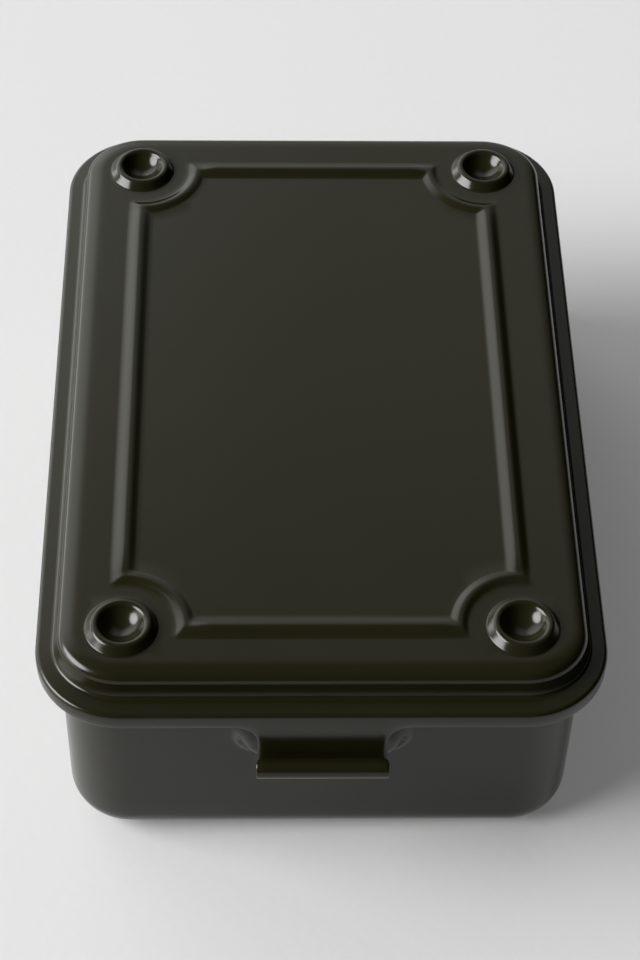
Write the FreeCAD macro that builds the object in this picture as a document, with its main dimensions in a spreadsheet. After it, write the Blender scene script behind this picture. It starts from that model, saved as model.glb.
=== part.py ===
import FreeCAD, Part
import Sketcher
import math
import os
from types import SimpleNamespace

# A small pressed-steel box: a drawn tray and a hinged lid with a sprung latch tongue.
# Frame: origin at the centre of the base, X across, Y from the latch end to the hinge end, Z up, millimetres.

# Driving sizes: name, value, what it measures
SIZES = [
    ("lid_width", 105.0, "across the skirt"),
    ("lid_length", 154.0, "latch end to hinge end of the skirt"),
    ("lid_sheet", 0.6, "steel of the lid and its tongue"),
    ("ledge_width", 4.0, "skirt face in to the raised top, along the sides"),
    ("ledge_depth", 5.2, "skirt face in to the raised top, at the ends"),
    ("ledge_drop", 5.3, "lid top down to the ledge"),
    ("skirt_drop", 3.6, "ledge down to the skirt's lower edge"),
    ("top_bend", 3.0, "inside radius round the raised top"),
    ("foot_bend", 1.1, "radius of the hollow between raised top and ledge"),
    ("skirt_bend", 0.5, "inside radius between ledge and skirt"),
    ("overhang", 4.3, "skirt face past the tray wall"),
    ("tray_sheet", 0.6, "steel of the tray"),
    ("tray_height", 45.4, "base to the top of the rolled rim"),
    ("tray_corner", 11.7, "plan radius of the tray, outside"),
    ("tray_bend", 6.9, "inside radius between wall and base"),
    ("rim_leg", 0.5, "straight drop on the outside of the rolled rim"),
    ("rim_clearance", 0.3, "rim to the inside of the skirt"),
    ("seat_gap", 0.1, "rim to the underside of the ledge"),
    ("stud_inset", 16.0, "skirt face in to a stud's middle"),
    ("stud_radius", 6.9, "foot of a stud"),
    ("stud_crest", 4.9, "radius of the circle along a stud's crest"),
    ("stud_height", 1.6, "crest above the lid top"),
    ("stud_bend", 0.7, "inside radius of the crest"),
    ("dimple_depth", 0.7, "dimple's lowest point below the lid top"),
    ("bead_inset", 16.0, "skirt face in to the middle of the bead"),
    ("bead_width", 4.2, "across the bead at its foot"),
    ("bead_height", 0.9, "bead above the lid top"),
    ("scallop_radius", 11.6, "stud's middle to the middle of the bead that goes round it"),
    ("tongue_width", 23.7, "across the latch tongue"),
    ("tongue_fillet", 4.5, "radius between tongue and skirt edge"),
    ("lip_drop", 4.9, "tongue's root down to the middle of the curled lip"),
    ("lip_shift", 0.84, "tongue's face at its root out to its face behind the lip"),
    ("lip_radius", 2.0, "outside of the curled lip"),
    ("lip_gap", 0.55, "tongue's face out to the middle of the lip's free edge"),
    ("boss_width", 25.0, "across the flat crest of the catch boss"),
    ("boss_height", 4.8, "height of the boss's crest"),
    ("boss_corner", 2.0, "corner radius of the boss's crest"),
    ("boss_slope", 4.5, "run of the boss's sides from crest to wall"),
    ("boss_gap", 0.8, "boss to the rim above it"),
    ("boss_clearance", 0.3, "boss to the inside of the tongue"),
    ("pin_radius", 1.2, "hinge pin"),
    ("pin_clearance", 0.05, "pin to knuckle"),
    ("pin_head_radius", 1.7, "head at each end of a pin"),
    ("pin_head_length", 0.7, "length of a pin's head"),
    ("hinge_spacing", 44.0, "middle of one hinge to the other"),
    ("hinge_width", 20.0, "across a hinge plate and its knuckles"),
    ("hinge_drop", 2.3, "skirt's lower edge down to the pin"),
    ("ear_width", 8.0, "lid ear that curls round the pin"),
    ("knuckle_gap", 0.2, "ear to the knuckle beside it"),
    ("plate_sheet", 0.6, "steel of the hinge plate"),
    ("plate_height", 13.0, "pin down to the plate's lower edge"),
    ("plate_corner", 2.5, "radius of the plate's lower corners"),
    ("stop_angle", 112.0, "degrees of lid swing when the ear comes to rest on the plate's lug"),
    ("stop_reach", 0.6, "end of the lug past the hinge line"),
    ("rivet_radius", 1.2, "rivet shank"),
    ("rivet_clearance", 0.05, "shank to hole"),
    ("rivet_spacing", 11.0, "between the rivets of a plate"),
    ("rivet_drop", 8.0, "pin down to the rivets"),
    ("rivet_head_radius", 2.2, "head on the plate"),
    ("rivet_head_height", 1.0, "head above the plate"),
    ("rivet_tail_radius", 2.0, "tail inside the tray"),
    ("rivet_tail_height", 0.7, "tail above the inside of the wall"),
]

# Points of a sketch's line or arc, numbered from one
START, END, CENTRE = range(1, 4)
# The sketch's own origin
ORIGIN = -1
QUARTER_TURN = 90
LEVEL_TOLERANCE = 1e-4


class Size:
    """A measure that knows its number and the sheet formula that it follows."""

    def __init__(self, number, formula):
        self.number = number
        self.formula = formula

    def __add__(self, other):
        other = as_size(other)
        return Size(self.number + other.number, f"({self.formula} + {other.formula})")

    def __sub__(self, other):
        other = as_size(other)
        return Size(self.number - other.number, f"({self.formula} - {other.formula})")

    def __mul__(self, other):
        other = as_size(other)
        return Size(self.number * other.number, f"({self.formula} * {other.formula})")

    def __truediv__(self, other):
        other = as_size(other)
        return Size(self.number / other.number, f"({self.formula} / {other.formula})")

    def __neg__(self):
        return Size(-self.number, f"(-1 * {self.formula})")


def as_size(value):
    """Let a plain count stand beside sizes in a formula."""
    return value if isinstance(value, Size) else Size(value, str(value))


def sine(angle):
    return Size(math.sin(math.radians(angle.number)), f"sin({angle.formula})")


def cosine(angle):
    return Size(math.cos(math.radians(angle.number)), f"cos({angle.formula})")


ZERO = as_size(0)

doc = FreeCAD.newDocument("steel_storage_box")
sheet = doc.addObject("Spreadsheet::Sheet", "sizes")
for row, (alias, value, meaning) in enumerate(SIZES, start=1):
    sheet.set(f"A{row}", meaning)
    sheet.set(f"B{row}", str(value))
    sheet.setAlias(f"B{row}", alias)
doc.recompute()
size = SimpleNamespace(**{alias: Size(sheet.get(alias), f"sizes.{alias}") for alias, _, _ in SIZES})

# Heights that follow from the driving sizes
ledge_top = size.tray_height + size.seat_gap + size.lid_sheet
lid_top = ledge_top + size.ledge_drop
skirt_bottom = ledge_top - size.skirt_drop
hinge_height = skirt_bottom - size.hinge_drop
tongue_root = skirt_bottom - size.tongue_fillet

# Plan sizes that follow from the driving sizes
tray_width = size.lid_width - size.overhang * 2
tray_length = size.lid_length - size.overhang * 2
lid_corner = size.tray_corner + size.overhang
raised_width = size.lid_width - size.ledge_width * 2
raised_length = size.lid_length - size.ledge_depth * 2
raised_corner = lid_corner - (size.ledge_width + size.ledge_depth) / 2
lid_front = size.lid_length / 2
tray_front = tray_length / 2
stud_x = size.lid_width / 2 - size.stud_inset
stud_y = size.lid_length / 2 - size.stud_inset

# The rolled rim fills the space between the tray wall and the skirt, less its clearance
rim_radius = (size.overhang - size.lid_sheet - size.rim_clearance + size.tray_sheet) / 2
rim_middle = tray_width / 2 - size.tray_sheet + rim_radius
rim_height = size.tray_height - rim_radius
rim_bottom = rim_height - size.rim_leg

# Hinge sizes shared by the lid's ears, the plates and the pins
knuckle_bore = size.pin_radius + size.pin_clearance
knuckle_radius = knuckle_bore + size.lid_sheet
hinge_axis = lid_front - knuckle_radius
rivet_hole = size.rivet_radius + size.rivet_clearance
stop_drop = (knuckle_radius - size.stop_reach * cosine(size.stop_angle)) / sine(size.stop_angle)
HINGE_SIDES = [("left", -1), ("right", 1)]


def new_body(label):
    body = doc.addObject("PartDesign::Body", label)
    body.Label = label
    return body


def new_sketch(body, name, plane, offset=ZERO):
    """A sketch on one of the body's own planes, moved along that plane's normal."""
    sketch = body.newObject("Sketcher::SketchObject", name)
    support = [feature for feature in body.Origin.OriginFeatures if feature.Role == plane][0]
    sketch.AttachmentSupport = [(support, "")]
    sketch.MapMode = "FlatFace"
    sketch.setExpression("AttachmentOffset.Base.z", offset.formula)
    doc.recompute()
    return sketch


def constrain(sketch, *terms):
    return sketch.addConstraint(Sketcher.Constraint(*terms))


def dimension(sketch, terms, measure):
    """Add a dimension and tie it to its sheet formula."""
    index = constrain(sketch, *terms, measure.number)
    sketch.setExpression(f"Constraints[{index}]", measure.formula)


def place_point(sketch, element, point, across, upright):
    """Fix a point of the sketch by its two distances from the sketch's origin."""
    dimension(sketch, ("DistanceX", ORIGIN, START, element, point), across)
    dimension(sketch, ("DistanceY", ORIGIN, START, element, point), upright)


def add_line(sketch, start, end):
    first = FreeCAD.Vector(start[0], start[1], 0)
    second = FreeCAD.Vector(end[0], end[1], 0)
    return sketch.addGeometry(Part.LineSegment(first, second), False)


def add_arc(sketch, centre, radius, start_degrees, end_degrees):
    """An arc that runs anticlockwise from its start angle to its end angle."""
    middle = FreeCAD.Vector(centre[0], centre[1], 0)
    circle = Part.Circle(middle, FreeCAD.Vector(0, 0, 1), radius)
    arc = Part.ArcOfCircle(circle, math.radians(start_degrees), math.radians(end_degrees))
    return sketch.addGeometry(arc, False)


def add_axis(sketch, line):
    """A construction line along a line of the sketch, to turn the sketch about."""
    ends = [sketch.getPoint(line, point) for point in (START, END)]
    axis = sketch.addGeometry(Part.LineSegment(*ends), True)
    for point in (START, END):
        constrain(sketch, "Coincident", axis, point, line, point)


def add_circle(sketch, across, upright, radius):
    middle = FreeCAD.Vector(across.number, upright.number, 0)
    circle = sketch.addGeometry(Part.Circle(middle, FreeCAD.Vector(0, 0, 1), radius.number), False)
    dimension(sketch, ("Radius", circle), radius)
    place_point(sketch, circle, CENTRE, across, upright)


def add_polygon(sketch, corners):
    """A closed run of straight lines through corners given as pairs of sizes."""
    places = [(across.number, upright.number) for across, upright in corners]
    count = len(places)
    lines = [add_line(sketch, places[index], places[(index + 1) % count]) for index in range(count)]
    for index, line in enumerate(lines):
        constrain(sketch, "Coincident", line, END, lines[(index + 1) % count], START)
    for line, (across, upright) in zip(lines, corners):
        place_point(sketch, line, START, across, upright)


def add_round_rectangle(sketch, width, height, corner, middle=ZERO):
    """A rectangle with round corners, centred across and with its middle at the given upright distance."""
    half_width = width.number / 2
    low = middle.number - height.number / 2
    high = middle.number + height.number / 2
    radius = corner.number
    flat = half_width - radius
    bottom = add_line(sketch, (-flat, low), (flat, low))
    low_right = add_arc(sketch, (flat, low + radius), radius, 270, 360)
    right = add_line(sketch, (half_width, low + radius), (half_width, high - radius))
    high_right = add_arc(sketch, (flat, high - radius), radius, 0, 90)
    top = add_line(sketch, (flat, high), (-flat, high))
    high_left = add_arc(sketch, (-flat, high - radius), radius, 90, 180)
    left = add_line(sketch, (-half_width, high - radius), (-half_width, low + radius))
    low_left = add_arc(sketch, (-flat, low + radius), radius, 180, 270)
    run = [bottom, low_right, right, high_right, top, high_left, left, low_left]
    for first, second in zip(run, run[1:] + run[:1]):
        constrain(sketch, "Tangent", first, END, second, START)
    for line in (bottom, top):
        constrain(sketch, "Horizontal", line)
    for line in (left, right):
        constrain(sketch, "Vertical", line)
    for arc in (high_right, high_left, low_left):
        constrain(sketch, "Equal", low_right, arc)
    dimension(sketch, ("Radius", low_right), corner)
    dimension(sketch, ("DistanceX", ORIGIN, START, right, START), width / 2)
    dimension(sketch, ("DistanceX", ORIGIN, START, left, START), -width / 2)
    dimension(sketch, ("DistanceY", ORIGIN, START, bottom, START), middle - height / 2)
    dimension(sketch, ("DistanceY", ORIGIN, START, top, START), middle + height / 2)


def pad(body, sketch, name, length, reverse=False, midplane=False):
    feature = body.newObject("PartDesign::Pad", name)
    feature.Profile = sketch
    feature.setExpression("Length", length.formula)
    feature.Reversed = reverse
    feature.SideType = "Symmetric" if midplane else "One side"
    doc.recompute()
    return feature


def pocket(body, sketch, name, length, reverse=False):
    """Cut along the sketch, and make sure that the cut took something away."""
    before = body.Shape.Volume
    feature = body.newObject("PartDesign::Pocket", name)
    feature.Profile = sketch
    feature.setExpression("Length", length.formula)
    feature.Reversed = reverse
    doc.recompute()
    if body.Shape.Volume >= before:
        raise RuntimeError(f"{name} cuts nothing")
    return feature


def loft(body, kind, name, profile, section):
    feature = body.newObject(f"PartDesign::{kind}Loft", name)
    feature.Profile = profile
    feature.Sections = [(section, [""])]
    feature.Ruled = True
    doc.recompute()
    return feature


def pipe(body, kind, name, profile, path, transition="Transformed"):
    feature = body.newObject(f"PartDesign::{kind}Pipe", name)
    feature.Profile = profile
    feature.Spine = (path, [""])
    feature.Transition = transition
    doc.recompute()
    return feature


def edges_at(feature, height, width, length):
    """Names of the level edges at a height that stay within a plan rectangle about the origin."""
    names = []
    for number, edge in enumerate(feature.Shape.Edges, start=1):
        box = edge.BoundBox
        level = max(abs(box.ZMin - height.number), abs(box.ZMax - height.number)) < LEVEL_TOLERANCE
        across = max(-box.XMin, box.XMax) < width.number / 2 + LEVEL_TOLERANCE
        along = max(-box.YMin, box.YMax) < length.number / 2 + LEVEL_TOLERANCE
        if level and across and along:
            names.append(f"Edge{number}")
    return names


def round_edges(body, feature, name, radius, height, width, length):
    """Round the level edges that edges_at finds."""
    fillet = body.newObject("PartDesign::Fillet", name)
    fillet.Base = (feature, edges_at(feature, height, width, length))
    fillet.setExpression("Radius", radius.formula)
    doc.recompute()
    return fillet


def place(body, across, along, upright):
    """Tie a body's place to the sheet."""
    for axis, measure in (("x", across), ("y", along), ("z", upright)):
        body.setExpression(f"Placement.Base.{axis}", measure.formula)
    doc.recompute()


def make_tray():
    """Drawn tray: round-cornered wall and base, rolled rim, catch boss and rivet holes."""
    body = new_body("tray")
    sheet_steel = size.tray_sheet
    inside_width = tray_width - sheet_steel * 2
    inside_length = tray_length - sheet_steel * 2

    outline = new_sketch(body, "tray_outline", "XY_Plane")
    add_round_rectangle(outline, tray_width, tray_length, size.tray_corner)
    pad(body, outline, "tray_block", rim_height)

    hollow = new_sketch(body, "tray_hollow_outline", "XY_Plane", rim_height)
    add_round_rectangle(hollow, inside_width, inside_length, size.tray_corner - sheet_steel)
    cavity = pocket(body, hollow, "tray_hollow", rim_height - sheet_steel)
    inside = round_edges(body, cavity, "tray_inside_edge", size.tray_bend,
                         sheet_steel, inside_width, inside_length)
    round_edges(body, inside, "tray_base_edge", size.tray_bend + sheet_steel, ZERO, tray_width, tray_length)

    make_rim(body)
    make_boss(body)
    make_rivet_holes(body)
    return body


def make_rim(body):
    """The wall's top edge, rolled outwards over a half circle and straight down on the outside."""
    path = new_sketch(body, "rim_path", "XY_Plane", rim_height)
    add_round_rectangle(path, tray_width, tray_length, size.tray_corner)

    section = new_sketch(body, "rim_section", "XZ_Plane")
    middle = (rim_middle.number, rim_height.number)
    outer_radius = rim_radius
    inner_radius = rim_radius - size.tray_sheet
    outer = add_arc(section, middle, outer_radius.number, 0, 180)
    inner = add_arc(section, middle, inner_radius.number, 0, 180)
    outer_right = middle[0] + outer_radius.number
    inner_right = middle[0] + inner_radius.number
    outer_left = middle[0] - outer_radius.number
    inner_left = middle[0] - inner_radius.number
    foot = rim_bottom.number
    outer_leg = add_line(section, (outer_right, foot), (outer_right, middle[1]))
    leg_foot = add_line(section, (inner_right, foot), (outer_right, foot))
    inner_leg = add_line(section, (inner_right, middle[1]), (inner_right, foot))
    root = add_line(section, (outer_left, middle[1]), (inner_left, middle[1]))
    constrain(section, "Tangent", outer_leg, END, outer, START)
    constrain(section, "Tangent", inner_leg, START, inner, START)
    constrain(section, "Coincident", leg_foot, START, inner_leg, END)
    constrain(section, "Coincident", leg_foot, END, outer_leg, START)
    constrain(section, "Coincident", outer, END, root, START)
    constrain(section, "Coincident", inner, END, root, END)
    constrain(section, "Coincident", inner, CENTRE, outer, CENTRE)
    constrain(section, "Horizontal", leg_foot)
    constrain(section, "Horizontal", root)
    constrain(section, "Vertical", outer_leg)
    dimension(section, ("Radius", outer), outer_radius)
    dimension(section, ("Radius", inner), inner_radius)
    place_point(section, outer, CENTRE, rim_middle, rim_height)
    dimension(section, ("DistanceY", ORIGIN, START, outer, END), rim_height)
    dimension(section, ("DistanceY", ORIGIN, START, leg_foot, START), rim_bottom)
    pipe(body, "Additive", "rim", section, path)


def make_boss(body):
    """Catch boss pressed out of the front wall, with sloping sides and a hollow back."""
    sheet_steel = size.tray_sheet
    foot_width = size.boss_width + size.boss_slope * 2
    foot_height = size.boss_height + size.boss_slope * 2
    foot_corner = size.boss_corner + size.boss_slope
    boss_middle = rim_bottom - size.boss_gap - foot_height / 2
    depth = size.overhang - size.lid_sheet - size.boss_clearance
    layers = [
        ("boss_foot", tray_front, foot_width, foot_height, foot_corner),
        ("boss_crest", tray_front + depth, size.boss_width, size.boss_height, size.boss_corner),
    ]
    hollow_layers = [
        ("boss_back_foot", tray_front - sheet_steel, foot_width - sheet_steel,
         foot_height - sheet_steel, foot_corner - sheet_steel / 2),
        ("boss_back_crest", tray_front + depth - sheet_steel, size.boss_width - sheet_steel,
         size.boss_height - sheet_steel, size.boss_corner - sheet_steel / 2),
    ]
    for kind, name, pair in (("Additive", "boss", layers), ("Subtractive", "boss_back", hollow_layers)):
        sketches = []
        for sketch_name, offset, width, height, corner in pair:
            sketch = new_sketch(body, sketch_name, "XZ_Plane", offset)
            add_round_rectangle(sketch, width, height, corner, boss_middle)
            sketches.append(sketch)
        loft(body, kind, name, *sketches)


def make_rivet_holes(body):
    """Holes through the rear wall, where the hinge plates are riveted on."""
    holes = new_sketch(body, "rivet_hole_places", "XZ_Plane", -(tray_front - size.tray_sheet))
    for _, side in HINGE_SIDES:
        for end in (-1, 1):
            across = size.hinge_spacing * (side / 2) + size.rivet_spacing * (end / 2)
            add_circle(holes, across, hinge_height - size.rivet_drop, rivet_hole)
    pocket(body, holes, "rivet_holes", size.tray_sheet)


def make_lid():
    """Pressed lid: skirt, ledge and raised top of one sheet, with bead, studs, tongue root and hinge ears."""
    body = new_body("lid")
    steel = size.lid_sheet
    inside_width = size.lid_width - steel * 2
    inside_length = size.lid_length - steel * 2
    inside_raised_width = raised_width - steel * 2
    inside_raised_length = raised_length - steel * 2

    outline = new_sketch(body, "skirt_outline", "XY_Plane", skirt_bottom)
    add_round_rectangle(outline, size.lid_width, size.lid_length, lid_corner)
    pad(body, outline, "skirt_block", size.skirt_drop)
    skirt_hollow = new_sketch(body, "skirt_hollow_outline", "XY_Plane", skirt_bottom)
    add_round_rectangle(skirt_hollow, inside_width, inside_length, lid_corner - steel)
    hollow = pocket(body, skirt_hollow, "skirt_hollow", size.skirt_drop - steel, reverse=True)
    inside = round_edges(body, hollow, "skirt_inside_edge", size.skirt_bend,
                         ledge_top - steel, inside_width, inside_length)
    round_edges(body, inside, "skirt_edge", size.skirt_bend + steel,
                ledge_top, size.lid_width, size.lid_length)

    raised = new_sketch(body, "raised_outline", "XY_Plane", ledge_top)
    add_round_rectangle(raised, raised_width, raised_length, raised_corner)
    pad(body, raised, "raised_block", size.ledge_drop)
    raised_hollow = new_sketch(body, "raised_hollow_outline", "XY_Plane", ledge_top - steel)
    add_round_rectangle(raised_hollow, inside_raised_width, inside_raised_length, raised_corner - steel)
    top_hollow = pocket(body, raised_hollow, "raised_hollow", size.ledge_drop, reverse=True)
    inside = round_edges(body, top_hollow, "raised_inside_edge", size.top_bend,
                         lid_top - steel, inside_raised_width, inside_raised_length)
    inside = round_edges(body, inside, "raised_inside_foot", size.foot_bend + steel,
                         ledge_top - steel, inside_raised_width, inside_raised_length)
    edge = round_edges(body, inside, "raised_edge", size.top_bend + steel,
                       lid_top, raised_width, raised_length)
    round_edges(body, edge, "raised_foot", size.foot_bend, ledge_top, raised_width, raised_length)

    make_bead(body)
    make_studs(body)
    make_tongue_root(body)
    make_ears(body)
    return body


def make_bead(body):
    """Bead frame on the raised top, scalloped round the studs, with the pressing's groove below it."""
    path = new_sketch(body, "bead_path", "XY_Plane", lid_top)
    line_x = size.lid_width / 2 - size.bead_inset
    line_y = size.lid_length / 2 - size.bead_inset
    reach = size.scallop_radius.number
    end_y = stud_y.number - math.sqrt(reach ** 2 - (line_x.number - stud_x.number) ** 2)
    end_x = stud_x.number - math.sqrt(reach ** 2 - (line_y.number - stud_y.number) ** 2)
    right = add_line(path, (line_x.number, -end_y), (line_x.number, end_y))
    far = add_line(path, (end_x, line_y.number), (-end_x, line_y.number))
    left = add_line(path, (-line_x.number, end_y), (-line_x.number, -end_y))
    near = add_line(path, (-end_x, -line_y.number), (end_x, -line_y.number))
    corners = [
        (1, 1, 180, (far, START), (right, END)),
        (-1, 1, 270, (left, START), (far, END)),
        (-1, -1, 0, (near, START), (left, END)),
        (1, -1, 90, (right, START), (near, END)),
    ]
    for sign_x, sign_y, angle, arc_start, arc_end in corners:
        centre = (sign_x * stud_x.number, sign_y * stud_y.number)
        arc = add_arc(path, centre, reach, angle, angle + QUARTER_TURN)
        constrain(path, "Coincident", arc, START, *arc_start)
        constrain(path, "Coincident", arc, END, *arc_end)
        dimension(path, ("Radius", arc), size.scallop_radius)
        place_point(path, arc, CENTRE, stud_x * sign_x, stud_y * sign_y)
    for line, kind, measure in ((right, "DistanceX", line_x), (left, "DistanceX", -line_x),
                                (far, "DistanceY", line_y), (near, "DistanceY", -line_y)):
        constrain(path, "Vertical" if kind == "DistanceX" else "Horizontal", line)
        dimension(path, (kind, ORIGIN, START, line, START), measure)
    doc.recompute()

    half_width = size.bead_width / 2
    bend = (half_width * half_width / size.bead_height + size.bead_height) / 2
    middle = lid_top + size.bead_height - bend
    for kind, name, radius, level in (
            ("Additive", "bead", bend, lid_top),
            ("Subtractive", "bead_groove", bend - size.lid_sheet, lid_top - size.lid_sheet)):
        section = new_sketch(body, f"{name}_section", "XZ_Plane")
        half = math.sqrt(radius.number ** 2 - (level.number - middle.number) ** 2)
        lean = math.degrees(math.atan2(level.number - middle.number, half))
        centre = (line_x.number, middle.number)
        crown = add_arc(section, centre, radius.number, lean, 180 - lean)
        chord = add_line(section, (line_x.number - half, level.number), (line_x.number + half, level.number))
        constrain(section, "Coincident", crown, END, chord, START)
        constrain(section, "Coincident", crown, START, chord, END)
        constrain(section, "Horizontal", chord)
        dimension(section, ("Radius", crown), radius)
        place_point(section, crown, CENTRE, line_x, middle)
        dimension(section, ("DistanceY", ORIGIN, START, chord, START), level)
        pipe(body, kind, name, section, path, "Right corner")


def bearing(start, end):
    """Degrees from the sketch's horizontal axis to the line between two places."""
    return math.degrees(math.atan2(end[1] - start[1], end[0] - start[0]))


def make_studs(body):
    """Four studs: a ring pressed up out of the raised top, with a round dimple pressed down inside it."""
    steel = size.lid_sheet
    opening = new_sketch(body, "stud_opening", "XY_Plane", lid_top - steel)
    add_circle(opening, stud_x, stud_y, size.stud_radius)
    cut = pocket(body, opening, "stud_hole", steel, reverse=True)

    section = new_sketch(body, "stud_section", "XZ_Plane", -stud_y)
    crest_radius = size.stud_bend + steel
    crest_height = lid_top + size.stud_height - crest_radius
    floor = lid_top - size.dimple_depth
    crest_up = crest_height.number - floor.number
    dimple = (size.stud_crest.number ** 2 + crest_up ** 2 - crest_radius.number ** 2) / (
        2 * (crest_up + crest_radius.number))
    run = size.stud_radius.number - size.stud_crest.number
    rise = crest_height.number - lid_top.number
    toe = (run ** 2 + rise ** 2 - crest_radius.number ** 2) / (2 * (rise + crest_radius.number))
    middle = stud_x.number
    dimple_centre = (middle, floor.number + dimple)
    crest_centre = (middle + size.stud_crest.number, crest_height.number)
    toe_centre = (middle + size.stud_radius.number, lid_top.number + toe)
    to_dimple = bearing(dimple_centre, crest_centre)
    to_toe = bearing(crest_centre, toe_centre)
    skins = []
    for change in (0.0, steel.number):
        bowl = add_arc(section, dimple_centre, dimple + change, 270, 360 + to_dimple)
        crest = add_arc(section, crest_centre, crest_radius.number - change, to_toe, 180 + to_dimple)
        foot = add_arc(section, toe_centre, toe + change, 180 + to_toe, 270)
        constrain(section, "Tangent", bowl, END, crest, END)
        constrain(section, "Tangent", crest, START, foot, START)
        skins.append((bowl, crest, foot))
    (bowl, crest, foot), (bowl_back, crest_back, foot_back) = skins
    top, bottom = floor.number, floor.number - steel.number
    axis = add_line(section, (middle, top), (middle, bottom))
    end_x = middle + size.stud_radius.number
    rim = add_line(section, (end_x, lid_top.number), (end_x, lid_top.number - steel.number))
    for arc, back, line in ((bowl, bowl_back, axis), (foot, foot_back, rim)):
        point = START if arc == bowl else END
        constrain(section, "Coincident", arc, point, line, START)
        constrain(section, "Coincident", back, point, line, END)
        constrain(section, "Coincident", arc, CENTRE, back, CENTRE)
        constrain(section, "Vertical", line)
    constrain(section, "Coincident", crest, CENTRE, crest_back, CENTRE)
    constrain(section, "PointOnObject", bowl, CENTRE, axis)
    constrain(section, "PointOnObject", foot, CENTRE, rim)
    dimension(section, ("Radius", crest), crest_radius)
    dimension(section, ("Radius", crest_back), size.stud_bend)
    place_point(section, crest, CENTRE, stud_x + size.stud_crest, crest_height)
    place_point(section, axis, START, stud_x, floor)
    place_point(section, rim, START, stud_x + size.stud_radius, lid_top)
    add_axis(section, axis)
    doc.recompute()
    ring = turn(body, section, "stud", "Axis0")

    repeat = body.newObject("PartDesign::MultiTransform", "four_studs")
    planes = {feature.Role: feature for feature in body.Origin.OriginFeatures}
    mirrors = []
    for name, plane in (("studs_across", "YZ_Plane"), ("studs_along", "XZ_Plane")):
        mirror = body.newObject("PartDesign::Mirrored", name)
        mirror.MirrorPlane = (planes[plane], [""])
        mirrors.append(mirror)
    repeat.Originals = [cut, ring]
    repeat.Transformations = mirrors
    body.Tip = repeat
    doc.recompute()


def make_tongue_root(body):
    """Where the front skirt widens down into the latch tongue, with a fillet on each side."""
    root = new_sketch(body, "tongue_root_outline", "XZ_Plane", lid_front)
    half = size.tongue_width.number / 2
    radius = size.tongue_fillet.number
    high, low = skirt_bottom.number, tongue_root.number
    top = add_line(root, (-half - radius, high), (half + radius, high))
    right = add_arc(root, (half + radius, low), radius, 90, 180)
    bottom = add_line(root, (half, low), (-half, low))
    left = add_arc(root, (-half - radius, low), radius, 0, 90)
    constrain(root, "Coincident", top, END, right, START)
    constrain(root, "Coincident", right, END, bottom, START)
    constrain(root, "Coincident", bottom, END, left, START)
    constrain(root, "Coincident", left, END, top, START)
    dimension(root, ("Radius", right), size.tongue_fillet)
    dimension(root, ("Radius", left), size.tongue_fillet)
    place_point(root, bottom, START, size.tongue_width / 2, tongue_root)
    place_point(root, bottom, END, -size.tongue_width / 2, tongue_root)
    place_point(root, top, START, -(size.tongue_width / 2 + size.tongue_fillet), skirt_bottom)
    place_point(root, top, END, size.tongue_width / 2 + size.tongue_fillet, skirt_bottom)
    pad(body, root, "tongue_root", size.lid_sheet, reverse=True)


def make_ears(body):
    """Ears of the rear skirt, each carried down and curled round its hinge pin."""
    for name, side in HINGE_SIDES:
        middle = size.hinge_spacing * (side / 2)
        strip = new_sketch(body, f"{name}_ear_strip", "YZ_Plane", middle)
        add_polygon(strip, [
            (lid_front - size.lid_sheet, hinge_height),
            (lid_front, hinge_height),
            (lid_front, skirt_bottom),
            (lid_front - size.lid_sheet, skirt_bottom),
        ])
        pad(body, strip, f"{name}_ear", size.ear_width, midplane=True)
        curl = new_sketch(body, f"{name}_ear_curl_section", "YZ_Plane", middle)
        add_circle(curl, hinge_axis, hinge_height, knuckle_radius)
        add_circle(curl, hinge_axis, hinge_height, knuckle_bore)
        pad(body, curl, f"{name}_ear_curl", size.ear_width, midplane=True)


def make_latch_tab():
    """Latch tongue: a strip that hangs from the root, sways out and curls up into a finger lip."""
    body = new_body("latch_tab")
    steel = size.lid_sheet
    middle = lid_front - steel / 2
    drop, shift = size.lip_drop, size.lip_shift
    sway_radius = (drop * drop + shift * shift) / (shift * 4)
    curl_radius = size.lip_radius - steel / 2
    curl_level = tongue_root - drop
    free_edge = middle + shift + steel / 2 + size.lip_gap

    lean = math.degrees(2 * math.atan2(shift.number, drop.number))
    high = (-middle.number, tongue_root.number)
    low = (-(middle + shift).number, curl_level.number)
    curl_middle = (low[0] - curl_radius.number, low[1])
    open_angle = math.degrees(math.acos((-free_edge.number - curl_middle[0]) / curl_radius.number))

    path = new_sketch(body, "tab_path", "YZ_Plane")
    out = add_arc(path, (high[0] - sway_radius.number, high[1]), sway_radius.number, 360 - lean, 360)
    back = add_arc(path, (low[0] + sway_radius.number, low[1]), sway_radius.number, 180 - lean, 180)
    curl = add_arc(path, curl_middle, curl_radius.number, open_angle, 360)
    constrain(path, "Tangent", out, START, back, START)
    constrain(path, "Tangent", back, END, curl, END)
    constrain(path, "Equal", out, back)
    dimension(path, ("Radius", out), sway_radius)
    dimension(path, ("Radius", curl), curl_radius)
    place_point(path, out, END, -middle, tongue_root)
    dimension(path, ("DistanceY", ORIGIN, START, out, CENTRE), tongue_root)
    for arc in (back, curl):
        dimension(path, ("DistanceY", ORIGIN, START, arc, CENTRE), curl_level)
    dimension(path, ("DistanceX", ORIGIN, START, curl, START), -free_edge)
    doc.recompute()

    section = new_sketch(body, "tab_section", "XY_Plane", tongue_root)
    add_polygon(section, [
        (-size.tongue_width / 2, -lid_front),
        (size.tongue_width / 2, -lid_front),
        (size.tongue_width / 2, steel - lid_front),
        (-size.tongue_width / 2, steel - lid_front),
    ])
    pipe(body, "Additive", "tab_strip", section, path)
    return body


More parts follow.
